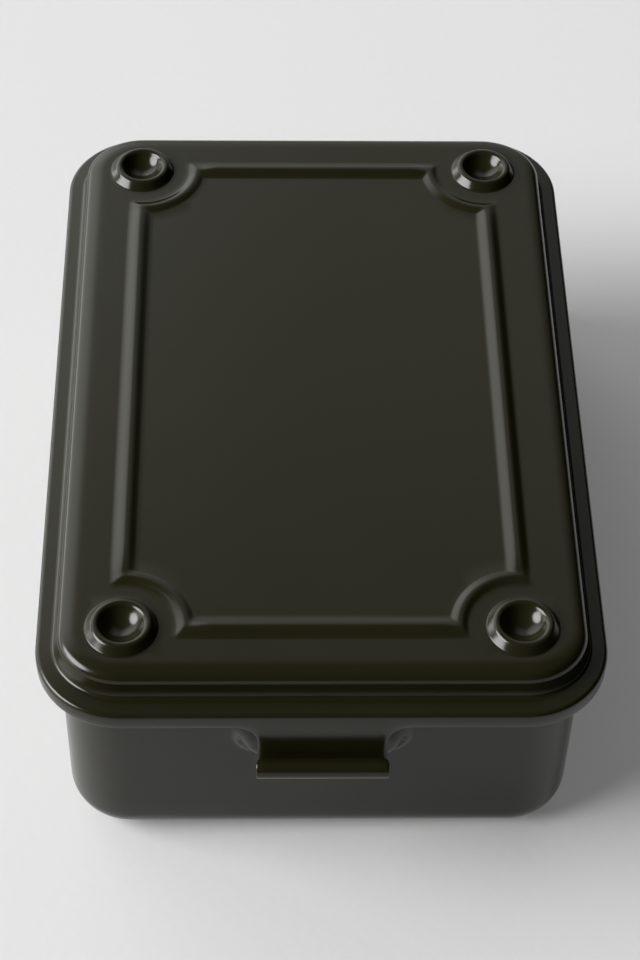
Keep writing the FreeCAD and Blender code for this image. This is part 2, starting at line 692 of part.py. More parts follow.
def make_hinge_plate(name, side):
    """Plate riveted to the rear wall: its top edge curls round the pin at each end, with a lug between."""
    body = new_body(f"{name}_hinge_plate")
    face = new_sketch(body, f"{name}_plate_outline", "XZ_Plane")
    half = size.hinge_width / 2
    add_polygon(face, [
        (-half, -size.plate_height),
        (half, -size.plate_height),
        (half, -stop_drop),
        (-half, -stop_drop),
    ])
    slab = pad(body, face, f"{name}_plate", size.plate_sheet, reverse=True)
    corners = [number for number, edge in enumerate(slab.Shape.Edges, start=1) if is_lower_corner(edge)]
    fillet = body.newObject("PartDesign::Fillet", f"{name}_plate_corners")
    fillet.Base = (slab, [f"Edge{number}" for number in corners])
    fillet.setExpression("Radius", size.plate_corner.formula)
    doc.recompute()

    reach = hinge_axis - tray_front
    knuckle_width = half - size.ear_width / 2 - size.knuckle_gap
    for end_name, end in (("first", -1), ("second", 1)):
        middle = (half - knuckle_width / 2) * end
        web = new_sketch(body, f"{name}_{end_name}_web_section", "YZ_Plane", middle)
        add_polygon(web, [
            (ZERO, -stop_drop),
            (size.plate_sheet, -stop_drop),
            (size.plate_sheet, -knuckle_radius),
            (reach, -knuckle_radius),
            (reach, -knuckle_bore),
            (ZERO, -knuckle_bore),
        ])
        pad(body, web, f"{name}_{end_name}_web", knuckle_width, midplane=True)
        curl = new_sketch(body, f"{name}_{end_name}_curl_section", "YZ_Plane", middle)
        add_circle(curl, reach, ZERO, knuckle_radius)
        add_circle(curl, reach, ZERO, knuckle_bore)
        pad(body, curl, f"{name}_{end_name}_curl", knuckle_width, midplane=True)

    lug = new_sketch(body, f"{name}_lug_section", "YZ_Plane")
    add_polygon(lug, [
        (ZERO, -stop_drop - size.plate_sheet),
        (reach + size.stop_reach, -stop_drop - size.plate_sheet),
        (reach + size.stop_reach, -stop_drop),
        (ZERO, -stop_drop),
    ])
    pad(body, lug, f"{name}_lug", size.ear_width, midplane=True)

    holes = new_sketch(body, f"{name}_plate_hole_places", "XZ_Plane")
    for end in (-1, 1):
        add_circle(holes, size.rivet_spacing * (end / 2), -size.rivet_drop, rivet_hole)
    pocket(body, holes, f"{name}_plate_holes", size.plate_sheet)
    place(body, size.hinge_spacing * (side / 2), tray_front, hinge_height)
    return body


def is_lower_corner(edge):
    """True for the two edges through the plate's thickness at its lower corners."""
    box = edge.BoundBox
    through = box.YLength > size.plate_sheet.number / 2
    return through and box.ZMax < LEVEL_TOLERANCE - size.plate_height.number


def make_hinge_pin(name, side):
    """Plain pin with a head at each end, turned about the hinge line."""
    body = new_body(f"{name}_hinge_pin")
    section = new_sketch(body, f"{name}_pin_section", "XZ_Plane")
    half = size.hinge_width / 2
    tip = half + size.pin_head_length
    add_polygon(section, [
        (-tip, ZERO),
        (tip, ZERO),
        (tip, size.pin_head_radius),
        (half, size.pin_head_radius),
        (half, size.pin_radius),
        (-half, size.pin_radius),
        (-half, size.pin_head_radius),
        (-tip, size.pin_head_radius),
    ])
    turn(body, section, f"{name}_pin", "H_Axis")
    place(body, size.hinge_spacing * (side / 2), hinge_axis, hinge_height)
    return body


def turn(body, section, name, axis):
    feature = body.newObject("PartDesign::Revolution", name)
    feature.Profile = section
    feature.ReferenceAxis = (section, [axis])
    feature.Angle = 360
    doc.recompute()
    return feature


def make_plate_rivets(name, side):
    """Two rivets through a hinge plate and the rear wall: domed head outside, flat tail inside the tray."""
    body = new_body(f"{name}_plate_rivets")
    body.AllowCompound = True
    head_side = size.plate_sheet
    tail_side = -size.tray_sheet
    head = size.rivet_head_radius.number
    dome = (head ** 2 + size.rivet_head_height.number ** 2) / (2 * size.rivet_head_height.number)
    for end_name, end in (("first", -1), ("second", 1)):
        section = new_sketch(body, f"{name}_{end_name}_rivet_section", "XY_Plane")
        middle = size.rivet_spacing * (end / 2)
        corners = [
            (middle, tail_side - size.rivet_tail_height),
            (middle + size.rivet_tail_radius, tail_side - size.rivet_tail_height),
            (middle + size.rivet_tail_radius, tail_side),
            (middle + size.rivet_radius, tail_side),
            (middle + size.rivet_radius, head_side),
            (middle + size.rivet_head_radius, head_side),
        ]
        places = [(across.number, along.number) for across, along in corners]
        lines = [add_line(section, first, second) for first, second in zip(places, places[1:])]
        crown = (middle.number, head_side.number + size.rivet_head_height.number)
        centre = (middle.number, crown[1] - dome)
        lean = math.degrees(math.atan2(head_side.number - centre[1], head))
        cap = add_arc(section, centre, dome, lean, 90)
        axis = add_line(section, crown, places[0])
        for first, second in zip(lines, lines[1:]):
            constrain(section, "Coincident", first, END, second, START)
        constrain(section, "Coincident", lines[-1], END, cap, START)
        constrain(section, "Coincident", cap, END, axis, START)
        constrain(section, "Coincident", axis, END, lines[0], START)
        constrain(section, "PointOnObject", cap, CENTRE, axis)
        for line, (across, along) in zip(lines, corners):
            place_point(section, line, START, across, along)
        place_point(section, lines[-1], END, *corners[-1])
        place_point(section, axis, START, middle, head_side + size.rivet_head_height)
        add_axis(section, axis)
        doc.recompute()
        turn(body, section, f"{name}_{end_name}_rivet", "Axis0")
    place(body, size.hinge_spacing * (side / 2), tray_front, hinge_height - size.rivet_drop)
    return body


pieces = [make_tray(), make_lid(), make_latch_tab()]
for side_name, side_sign in HINGE_SIDES:
    pieces.append(make_hinge_plate(side_name, side_sign))
    pieces.append(make_hinge_pin(side_name, side_sign))
    pieces.append(make_plate_rivets(side_name, side_sign))
doc.recompute()

for item in doc.Objects:
    if "Invalid" in item.State or "Error" in item.State:
        raise RuntimeError(f"{item.Label} failed: {item.State}")
for piece in pieces:
    if piece.Shape.isNull() or not piece.Shape.isValid():
        raise RuntimeError(f"{piece.Label} has no valid shape")

os.makedirs("parts", exist_ok=True)
for piece in pieces:
    piece.Shape.exportStep(f"parts/{piece.Label}.step")
    box = piece.Shape.BoundBox
    print(f"{piece.Label}: {len(piece.Shape.Solids)} solids, {piece.Shape.Volume:.1f} mm3,"
          f" X {box.XMin:.2f} to {box.XMax:.2f}, Y {box.YMin:.2f} to {box.YMax:.2f},"
          f" Z {box.ZMin:.2f} to {box.ZMax:.2f}")
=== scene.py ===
import math

import bpy
import numpy as np
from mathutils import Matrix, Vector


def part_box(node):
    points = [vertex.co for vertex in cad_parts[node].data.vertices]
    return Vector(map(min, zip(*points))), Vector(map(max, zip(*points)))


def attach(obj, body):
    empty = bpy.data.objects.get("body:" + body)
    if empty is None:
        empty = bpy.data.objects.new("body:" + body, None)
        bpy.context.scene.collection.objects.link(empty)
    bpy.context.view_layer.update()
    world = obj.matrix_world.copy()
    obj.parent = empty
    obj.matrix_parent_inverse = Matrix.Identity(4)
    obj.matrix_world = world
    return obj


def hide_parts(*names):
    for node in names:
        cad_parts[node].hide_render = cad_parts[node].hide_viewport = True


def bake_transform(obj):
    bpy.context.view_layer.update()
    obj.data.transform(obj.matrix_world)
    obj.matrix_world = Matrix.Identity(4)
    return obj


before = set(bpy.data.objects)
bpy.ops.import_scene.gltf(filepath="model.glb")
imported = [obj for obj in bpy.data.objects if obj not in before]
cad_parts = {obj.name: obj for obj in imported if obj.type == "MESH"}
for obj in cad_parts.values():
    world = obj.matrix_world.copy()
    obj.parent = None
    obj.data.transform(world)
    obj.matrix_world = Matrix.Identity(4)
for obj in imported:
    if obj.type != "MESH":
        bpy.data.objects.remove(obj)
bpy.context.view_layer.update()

bl_info = {
    "name": "Steel storage box",
    "version": (1, 0, 0),
    "blender": (4, 5, 0),
    "location": "3D View > Sidebar > Steel box",
    "description": "Pressed-steel box with a hinged lid, made from curved sheet surfaces",
    "category": "Add Mesh",
}

MM = 0.001
# Points closer than this are one point of a net
WELD = 1e-7
# Steps of the half circle round a sheet's open edge
EDGE_STEPS = 6
# Faces that meet at more than this angle keep a crease between them
CREASE = math.radians(50)
# Shortest length that a vector is divided by
TINY = 1e-12
LID_LOW, LID_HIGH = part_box("lid")
TRAY_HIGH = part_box("tray")[1]
SIDES = (("left", -1), ("right", 1))
# How far from a stud, in corner radii, the lid's rings of points have become straight rows
RING_BLEND = 1.5
# Degrees round the pin where a lid ear and a knuckle end
EAR_END = -285
KNUCKLE_END = 205
# Shares of the tongue's length between which it widens
FLARE_RUN = (0.1875, 0.8125)
# Paint and steel in the pale clouds, as a multiple of their colour
CLOUD_LIFT = 1.12
# Half width of the floor, and its number of points each way
FLOOR_HALF = 6.0
FLOOR_POINTS = 13
# The window light: its place, the point it faces, and its width and height
WINDOW_PLACE = (-3.15, -0.46, 2.17)
WINDOW_TARGET = (0.0, 0.0, 0.03)
WINDOW_SIZE = (3.2, 2.48)
# Full angle of the window's beam, which leaves the floor below the window dim
BEAM = math.radians(120)
# Direction of the lit wall at the left rear
SIDE_WALL = (-0.55, 0.7, 0.45)
# Where the room's walls and sill go from dark to bright, along a ray's X, Y or Z or its nearness to SIDE_WALL
OPEN_SIDE_X = (0.65, 0.15)
REAR_WALL_Y = (0.15, 0.55)
REAR_WALL_Z = (0.95, 0.7)
SIDE_WALL_NEARNESS = (0.8, 0.99)
SILL_X = (-0.55, -0.85)
SILL_Y = (-0.6, -0.2)
SILL_Z = (0.24, 0.1)
WHITE = (1.0, 1.0, 1.0, 1.0)
# Width of the camera's sensor in millimetres, and the nearest distance that it sees
SENSOR = 36.0
NEAREST = 0.01


def length(name, description, millimetres):
    """A length property, given in millimetres and kept in metres."""
    return bpy.props.FloatProperty(name=name, description=description, default=millimetres * MM,
                                   unit="LENGTH", precision=5)


def angle(name, description, degrees):
    """An angle property, given in degrees and kept in radians."""
    return bpy.props.FloatProperty(name=name, description=description, default=math.radians(degrees),
                                   subtype="ANGLE")


def colour(name, description, value):
    """A colour property in linear light."""
    return bpy.props.FloatVectorProperty(name=name, description=description, default=value, size=4,
                                         subtype="COLOR", min=0.0, max=1.0)


def share(name, description, value):
    """A property between nought and one."""
    return bpy.props.FloatProperty(name=name, description=description, default=value,
                                   min=0.0, max=1.0, subtype="FACTOR")


def brightness(name, description, value):
    """A brightness, where a white sheet in full light has one."""
    return bpy.props.FloatProperty(name=name, description=description, default=value, min=0.0)


class LidSizes(bpy.types.PropertyGroup):
    """Sizes of the pressed lid."""

    width: length("Width", "Across the skirt", (LID_HIGH.x - LID_LOW.x) / MM)
    depth: length("Length", "Latch end to hinge end of the skirt", (LID_HIGH.y - LID_LOW.y) / MM)
    sheet: length("Sheet", "Thickness of the steel", 0.6)
    corner: length("Corner", "Plan radius of the skirt", 16.0)
    ledge_level: length("Ledge level", "Height of the ledge above the table", 46.1)
    ledge_drop: length("Ledge drop", "Lid top down to the ledge", 5.3)
    ledge_width: length("Ledge width", "Skirt face in to the raised top, along the sides", 4.0)
    ledge_depth: length("Ledge depth", "Skirt face in to the raised top, at the ends", 4.8)
    skirt_drop: length("Skirt drop", "Ledge down to the skirt's lower edge", 3.6)
    crown: length("Crown", "Gentle radius where the top starts to fall", 8.0)
    crown_turn: angle("Crown turn", "How far the top has fallen where its roll starts", 17.0)
    top_roll: length("Top roll", "Tight radius round the raised top", 2.0)
    draft: angle("Draft", "Lean of the raised top's wall where it meets its foot", 24.0)
    foot_hollow: length("Foot hollow", "Radius between raised top and ledge", 0.8)
    skirt_roll: length("Skirt roll", "Outside radius between ledge and skirt", 0.85)
    bead_inset: length("Bead inset", "Skirt face in to the middle of the bead", 16.0)
    bead_reach: length("Bead reach", "Middle of the bead to its foot", 2.4)
    bead_height: length("Bead height", "Bead above the lid top", 0.9)
    bead_fullness: bpy.props.FloatProperty(name="Bead fullness", default=2.0, min=1.5, max=6.0,
                                           description="How flat the bead's crest is before its sides fall")
    mitre: length("Mitre", "Softness of the bead's mitred corners", 0.25)
    scallop: length("Scallop", "Middle of a stud to the bead that goes round it", 11.6)
    scallop_reach: length("Scallop reach", "Middle of a scallop's bead to its foot", 1.85)
    scallop_height: share("Scallop height", "Share of the bead's height that a scallop has", 0.62)
    scallop_rise: length("Scallop rise", "Length in which a scallop gains the bead's full height", 4.0)
    stud_inset: length("Stud inset", "Skirt face in to a stud's middle", 16.0)
    stud_crest: length("Stud crest", "Radius of the circle along a stud's crest", 4.9)
    stud_height: length("Stud height", "Crest above the lid top", 1.6)
    stud_roll: length("Stud roll", "Outside radius of the crest", 1.0)
    stud_lean: angle("Stud lean", "Slope of a stud's flank", 51.0)
    stud_toe: length("Stud toe", "Radius of the hollow at a stud's foot", 0.45)
    dimple_depth: length("Dimple depth", "Dimple's lowest point below the lid top", 1.0)


class LatchSizes(bpy.types.PropertyGroup):
    """Sizes of the sprung tongue at the front of the lid."""

    width: length("Width", "Across the tongue", 23.7)
    fillet: length("Fillet", "Radius between tongue and skirt edge", 4.5)
    seam: length("Seam", "Height where the bending part of the tongue starts", 38.2)
    spring: length("Spring", "Height over which the tongue bends when it flexes", 2.0)
    sway_level: length("Sway level", "Height where the tongue starts to bend out", 37.4)
    lip_drop: length("Lip drop", "Start of the bend down to the middle of the lip", 4.3)
    lip_shift: length("Lip shift", "How far the tongue bends out", 0.84)
    lip_radius: length("Lip radius", "Outside of the curled lip", 1.99)
    lip_turn: angle("Lip turn", "How far round the lip is curled", 300.0)
    flare: length("Flare", "How much wider the lip is on each side", 0.3)
    lip_corner: length("Lip corner", "Radius of the corners of the lip's free edge", 1.2)


class TraySizes(bpy.types.PropertyGroup):
    """Sizes of the drawn tray."""

    overhang: length("Overhang", "Skirt face past the tray wall", 4.3)
    height: length("Height", "Base to the top of the rolled rim", TRAY_HIGH.z / MM)
    sheet: length("Sheet", "Thickness of the steel", 0.6)
    corner: length("Corner", "Plan radius of the wall", 11.7)
    base_bend: length("Base bend", "Outside radius between wall and base", 7.5)
    rim_radius: length("Rim radius", "Outside radius of the rolled rim", 2.0)
    rim_leg: length("Rim leg", "Straight drop on the outside of the rim", 0.5)
    boss_width: length("Boss width", "Across the crest of the catch boss", 25.0)
    boss_height: length("Boss height", "Height of the crest", 4.8)
    boss_corner: length("Boss corner", "Corner radius of the crest", 2.0)
    boss_slope: length("Boss slope", "Run of the sides from crest to wall", 4.5)
    boss_depth: length("Boss depth", "Crest in front of the wall", 3.25)
    boss_level: length("Boss level", "Height of the middle of the boss", 35.2)


class HingeSizes(bpy.types.PropertyGroup):
    """Sizes of the two riveted hinges."""

    spacing: length("Spacing", "Middle of one hinge to the other", 44.0)
    width: length("Width", "Across a plate and its knuckles", 20.0)
    axis_y: length("Pin place", "Middle of the box to the pin", 75.15)
    axis_z: length("Pin level", "Height of the pin", 40.2)
    pin_radius: length("Pin radius", "Radius of the pin", 1.2)
    pin_head: length("Pin head", "Radius of the pin's heads", 1.7)
    pin_head_length: length("Pin head length", "Length of a pin's head", 0.7)
    knuckle: length("Knuckle", "Outside radius of knuckles and ears", 1.85)
    ear_width: length("Ear width", "Across a lid ear and a stop lug", 8.0)
    gap: length("Gap", "Ear to the knuckle beside it", 0.2)
    sheet: length("Sheet", "Thickness of the plate", 0.6)
    drop: length("Drop", "Pin down to the plate's lower edge", 13.0)
    corner: length("Corner", "Radius of the plate's lower corners", 2.5)
    stop_drop: length("Stop drop", "Pin down to the top of the stop lug", 2.24)
    stop_reach: length("Stop reach", "End of the lug past the pin", 0.6)
    rivet_spacing: length("Rivet spacing", "Between the rivets of a plate", 11.0)
    rivet_drop: length("Rivet drop", "Pin down to the rivets", 8.0)
    rivet_head: length("Rivet head", "Radius of the domed head", 2.2)
    rivet_rise: length("Rivet rise", "Head above the plate", 1.0)
    rivet_tail: length("Rivet tail", "Radius of the tail inside the tray", 2.0)
    rivet_tail_rise: length("Rivet tail rise", "Tail above the inside of the wall", 0.7)


class Finishes(bpy.types.PropertyGroup):
    """Colours and gloss of the paint and the steel."""

    olive: colour("Olive", "Colour of the paint", (0.0091, 0.0087, 0.0028, 1.0))
    olive_worn: colour("Worn olive", "Paint where edges are rubbed", (0.055, 0.052, 0.035, 1.0))
    gloss: share("Paint roughness", "Roughness of the paint", 0.18)
    shine: share("Paint shine", "How strongly the paint mirrors, where one half is usual", 0.33)
    steel: colour("Steel", "Colour of pins and rivets", (0.52, 0.51, 0.49, 1.0))
    steel_worn: colour("Rubbed steel", "Steel where edges are rubbed", (0.72, 0.71, 0.69, 1.0))
    steel_roughness: share("Steel roughness", "Roughness of the steel", 0.34)


class Studio(bpy.types.PropertyGroup):
    """Floor, lamps and camera."""

    floor: colour("Floor", "Colour of the floor", (0.5, 0.5, 0.5, 1.0))
    floor_lift: brightness("Floor lift", "White that the camera sees on top of the floor's own colour", 0.12)
    key_power: bpy.props.FloatProperty(name="Key", description="Power of the window light", default=134.0,
                                       unit="POWER")
    room: brightness("Room", "Brightness of the room all round", 0.07)
    rear: brightness("Rear", "Brightness of the lit wall behind the box", 0.52)
    side: brightness("Side", "Brightness of the lit wall at the left rear", 1.8)
    strip: brightness("Strip", "Brightness of the low window sill on the left", 4.5)
    backdrop: brightness("Backdrop", "What the camera sees past the edge of the floor", 0.55)
    camera_place: bpy.props.FloatVectorProperty(
        name="Camera place", description="Where the camera stands", size=3, subtype="TRANSLATION",
        default=(-0.011249, -0.319946, 0.398342))
    camera_turn: bpy.props.FloatVectorProperty(
        name="Camera turn", description="How the camera is turned", size=3, subtype="EULER",
        default=(math.radians(40.2847), math.radians(-1.0811), math.radians(-0.9269)))
    lens: bpy.props.FloatProperty(name="Lens", description="Focal length in millimetres", default=89.3,
                                  unit="CAMERA")


def unit(vectors):
    """Vectors along the last axis, scaled to length one; a vector of no length stays so."""
    size = np.linalg.norm(vectors, axis=-1, keepdims=True)
    return vectors / np.maximum(size, TINY)


def arc(centre, radius, start, end, steps):
    """Points of a circle in a plane: centre plus radius times cosine and sine of evenly spaced degrees."""
    turn = np.radians(np.linspace(start, end, steps + 1))
    return np.stack([centre[0] + radius * np.cos(turn), centre[1] + radius * np.sin(turn)], axis=-1)


def run(*stretches):
    """One path through several stretches of points, with points that repeat their neighbour left out."""
    points = np.concatenate([np.atleast_2d(stretch) for stretch in stretches])
    moved = np.linalg.norm(np.diff(points, axis=0), axis=1) > WELD
    return points[np.concatenate([[True], moved])]


def weld(*patches):
    """Join grids of points into one net: points that coincide become one, and each grid cell a face.

    A face's outside is the cross product of the grid's first direction and its second."""
    points = np.concatenate([patch.reshape(-1, 3) for patch in patches])
    starts = np.cumsum([0] + [patch.shape[0] * patch.shape[1] for patch in patches])
    cells = []
    for patch, start in zip(patches, starts):
        rows, columns = patch.shape[:2]
        index = start + np.arange(rows * columns).reshape(rows, columns)
        corners = (index[:-1, :-1], index[1:, :-1], index[1:, 1:], index[:-1, 1:])
        cells.append(np.stack(corners, axis=-1).reshape(-1, 4))
    keys = np.round(points / WELD).astype(np.int64)
    _, first, place = np.unique(keys, axis=0, return_index=True, return_inverse=True)
    return points[first], place.reshape(-1)[np.concatenate(cells)]


def net_normals(points, faces):
    """Normal at each point: the sum of its faces' normals, each as long as its face is large."""
    a, b, c, d = (points[faces[:, corner]] for corner in range(4))
    across = np.cross(c - a, d - b)
    total = np.zeros_like(points)
    for corner in range(4):
        np.add.at(total, faces[:, corner], across)
    return unit(total)


def thicken(points, faces, thickness, seam=None):
    """Give an open net the thickness of a sheet, and return points, faces and a mask of its edges.

    The second skin is the first one moved back along its normals by the thickness. Along an open edge the
    skins are joined by a half circle about the middle of the sheet, which swings from one skin, out along
    the sheet, to the other. Where the seam mask is true the joining face stays flat."""
    count = len(points)
    normal = net_normals(points, faces)
    sides = np.concatenate([faces[:, [corner, (corner + 1) % 4]] for corner in range(4)])
    sides = sides[sides[:, 0] != sides[:, 1]]
    _, place, shared = np.unique(np.sort(sides, axis=1), axis=0, return_inverse=True, return_counts=True)
    rim = sides[shared[place.reshape(-1)] == 1]

    away = unit(np.cross(points[rim[:, 1]] - points[rim[:, 0]], normal[rim].mean(axis=1)))
    if seam is not None:
        away[seam[rim].all(axis=1)] = 0.0
    reach = np.zeros_like(points)
    for end in range(2):
        np.add.at(reach, rim[:, end], away)
    reach = unit(reach)

    ends = np.unique(rim)
    half = thickness / 2
    middle = points[ends] - half * normal[ends]
    turn = np.linspace(0.0, math.pi, EDGE_STEPS + 1)[1:-1, None, None]
    nose = middle + half * (np.cos(turn) * normal[ends] + np.sin(turn) * reach[ends])
    rings = [ends]
    rings += [2 * count + step * len(ends) + np.arange(len(ends)) for step in range(EDGE_STEPS - 1)]
    rings.append(ends + count)
    first, second = (np.searchsorted(ends, rim[:, end]) for end in range(2))
    strips = [np.stack([upper[second], upper[first], lower[first], lower[second]], axis=-1)
              for upper, lower in zip(rings, rings[1:])]

    skin = np.concatenate([points, points - thickness * normal, nose.reshape(-1, 3)])
    edge = np.concatenate([np.zeros(2 * count), np.ones(len(ends) * (EDGE_STEPS - 1))])
    return skin, np.concatenate([faces, faces[:, ::-1] + count, *strips]), edge


def make_piece(name, points, faces, edge, material, slot, node):
    """Put a net with its edge mask into a smooth mesh, which stands for its node of the solid model."""
    repeats = faces == np.roll(faces, -1, axis=1)
    whole = faces[~repeats.any(axis=1)]
    pinched = repeats.sum(axis=1) == 1
    narrow = faces[pinched][~repeats[pinched]].reshape(-1, 3)
    mesh = bpy.data.meshes.new(name)
    mesh.from_pydata(points.tolist(), [], whole.tolist() + narrow.tolist())
    if mesh.validate():
        raise RuntimeError(f"{name} had faces that could not be kept")
    mesh.polygons.foreach_set("use_smooth", np.ones(len(mesh.polygons), dtype=bool))
    mesh.set_sharp_from_angle(angle=CREASE)
    rubbed = mesh.attributes.new("edge", "FLOAT", "POINT")
    rubbed.data.foreach_set("value", edge.astype(np.float32))
    mesh.materials.append(material)
    piece = bpy.data.objects.new(name, mesh)
    bpy.context.scene.collection.objects.link(piece)
    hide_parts(node)
    return piece


def round_corners(across, along, core_x, core_y, weight=None):
    """Plan of a round-cornered plate, as two grids.

    Round each corner's centre, a point's larger distance m from the centre along X or Y tells its ring. In
    the corner the point moves along its own ray to the circle of radius m, and elsewhere it moves by the
    share of that way which the weight function gives, or stays if there is none."""
    x, y = np.meshgrid(across, along, indexing="ij")
    s, t = np.abs(x) - core_x, np.abs(y) - core_y
    ring = np.maximum(np.abs(s), np.abs(t))
    pull = np.where((s > 0) & (t > 0), 1.0, weight(s, t, ring) if weight else 0.0)
    scale = 1 + pull * (ring / np.maximum(np.hypot(s, t), TINY) - 1)
    return np.sign(x) * (core_x + s * scale), np.sign(y) * (core_y + t * scale)


def border(grid):
    """The points along a grid's border, anticlockwise for a grid of rising X by rising Y, and closed."""
    return np.concatenate([grid[:-1, 0], grid[-1, :-1], grid[:0:-1, -1], grid[0, :0:-1], grid[:1, 0]])


def sweep(loop, core_x, core_y, sides, ends):
    """Carry a profile of (distance from the core rectangle, height) round a loop of points that starts it.

    A loop point's nearest point of the core rectangle gives the direction in which its distances are laid
    off: the sides' distances along X and the ends' along Y, so that a corner is a quarter of an ellipse."""
    core = np.clip(loop[:, :2], (-core_x, -core_y), (core_x, core_y))
    away = unit(loop[:, :2] - core)
    plan = core + np.stack([sides[:, 0], ends[:, 0]], axis=-1)[:, None] * away
    level = np.broadcast_to(sides[:, 1:, None], plan.shape[:2] + (1,))
    rows = np.concatenate([plan, level], axis=-1)
    rows[0] = loop
    return rows


def mirrored(values):
    """Values and their negatives, in order, each once."""
    return np.unique(np.round(np.concatenate([-np.asarray(values), values]), 9))


def soft_max(first, second, softness):
    """The larger of two fields, with the crease between them rounded off."""
    return (first + second + np.sqrt((first - second) ** 2 + softness ** 2)) / 2


def ease(value):
    """Nought to one with level ends: three squares less two cubes."""
    value = np.clip(value, 0.0, 1.0)
    return value * value * (3 - 2 * value)


class Stud:
    """A stud's round profile: spherical dimple, rolled crest, straight flank and hollow toe, all tangent.

    The dimple's radius follows from the crest's circle: the line between their centres passes through the
    point where they touch."""

    def __init__(self, lid):
        self.crest = lid.stud_crest
        self.roll = lid.stud_roll
        self.level = lid.stud_height - lid.stud_roll
        self.floor = -lid.dimple_depth
        rise = self.level - self.floor
        self.bowl = (self.crest ** 2 + rise ** 2 - self.roll ** 2) / (2 * (rise + self.roll))
        self.bowl_lean = math.atan2(self.floor + self.bowl - self.level, self.crest)
        self.bowl_end = self.crest - self.roll * math.cos(self.bowl_lean)
        self.lean = lid.stud_lean
        self.toe = lid.stud_toe
        self.flank_start = self.crest + self.roll * math.sin(self.lean)
        self.flank_top = self.level + self.roll * math.cos(self.lean)
        fall = self.flank_top - self.toe * (1 - math.cos(self.lean))
        self.toe_start = self.flank_start + fall / math.tan(self.lean)
        self.foot = self.toe_start + self.toe * math.sin(self.lean)

    def height(self, distance):
        """Height above the lid top at a distance from the stud's middle."""
        def circle(radius, offset):
            return np.sqrt(np.maximum(radius ** 2 - offset ** 2, 0.0))

        dimple = self.floor + self.bowl - circle(self.bowl, np.minimum(distance, self.bowl))
        crest = self.level + circle(self.roll, distance - self.crest)
        flank = self.flank_top - (distance - self.flank_start) * math.tan(self.lean)
        toe = self.toe - circle(self.toe, distance - self.foot)
        return np.select([distance < self.bowl_end, distance < self.flank_start, distance < self.toe_start,
                          distance < self.foot], [dimple, crest, flank, toe], 0.0)

    def rings(self, bowl_steps, crest_steps, toe_steps):
        """Distances from the middle that cut each circle of the profile into equal angles."""
        bowl_turn = math.asin(self.bowl_end / self.bowl)
        bowl = self.bowl * np.sin(np.linspace(0.0, bowl_turn, bowl_steps + 1))
        crest_turn = np.linspace(math.pi - self.bowl_lean, math.pi / 2 - self.lean, crest_steps + 1)
        crest = self.crest + self.roll * np.cos(crest_turn)
        toe = self.foot - self.toe * np.sin(np.linspace(self.lean, 0.0, toe_steps + 1))
        return np.concatenate([bowl, crest[1:], toe])


def lid_core(lid):
    """Half width and half length between the centres of the lid's round corners."""
    return lid.width / 2 - lid.corner, lid.depth / 2 - lid.corner


def top_level(x, y, lid, stud):
    """Height of the lid's top: flat, with a bead along the zero line of a field, and a stud in each corner.

    The field is the largest of the distances past the bead's side lines, past its end lines and inside the
    scallops, which count for more since their bead is narrower. Across the bead the height is its crest's
    height times (1 - (field / reach) to the power of its fullness) squared, and the crest is lower round a
    scallop."""
    past_x = np.abs(x) - (lid.width / 2 - lid.bead_inset)
    past_y = np.abs(y) - (lid.depth / 2 - lid.bead_inset)
    stud_x, stud_y = lid.width / 2 - lid.stud_inset, lid.depth / 2 - lid.stud_inset
    distance = np.hypot(np.abs(x) - stud_x, np.abs(y) - stud_y)
    inside_scallop = (lid.scallop - distance) * lid.bead_reach / lid.scallop_reach
    field = soft_max(np.maximum(past_x, past_y), inside_scallop, lid.mitre)
    off_middle = np.minimum(np.abs(field) / lid.bead_reach, 1.0)
    beyond = ease((distance - lid.scallop) / lid.scallop_rise)
    crest = lid.bead_height * (lid.scallop_height + (1 - lid.scallop_height) * beyond)
    bead = crest * (1 - off_middle ** lid.bead_fullness) ** 2
    return lid.ledge_level + lid.ledge_drop + bead + stud.height(distance)


def tongue_columns(lid, latch):
    """Places across the front where the tongue's root needs a column: along the neck and round the fillet."""
    inset = lid.sheet / 2
    neck = np.linspace(0.0, latch.width / 2 - inset, 7)
    turn = np.linspace(0.0, math.pi / 2, 9)
    fillet = latch.width / 2 + latch.fillet - (latch.fillet + inset) * np.cos(turn)
    return np.concatenate([neck, fillet[1:]])


def skirt_end(x, y, lid, latch):
    """Height where the round of the skirt's open edge starts: level, and down to the tongue at the front."""
    inset = lid.sheet / 2
    level = lid.ledge_level - lid.skirt_drop + inset
    past = latch.width / 2 + latch.fillet - np.abs(x)
    radius = latch.fillet + inset
    root = lid.ledge_level - lid.skirt_drop - latch.fillet
    fillet = root + np.sqrt(np.maximum(radius ** 2 - past ** 2, 0.0))
    front = (y < -lid.depth / 4) & (past > 0)
    return np.where(front, np.maximum(fillet, latch.seam), level)


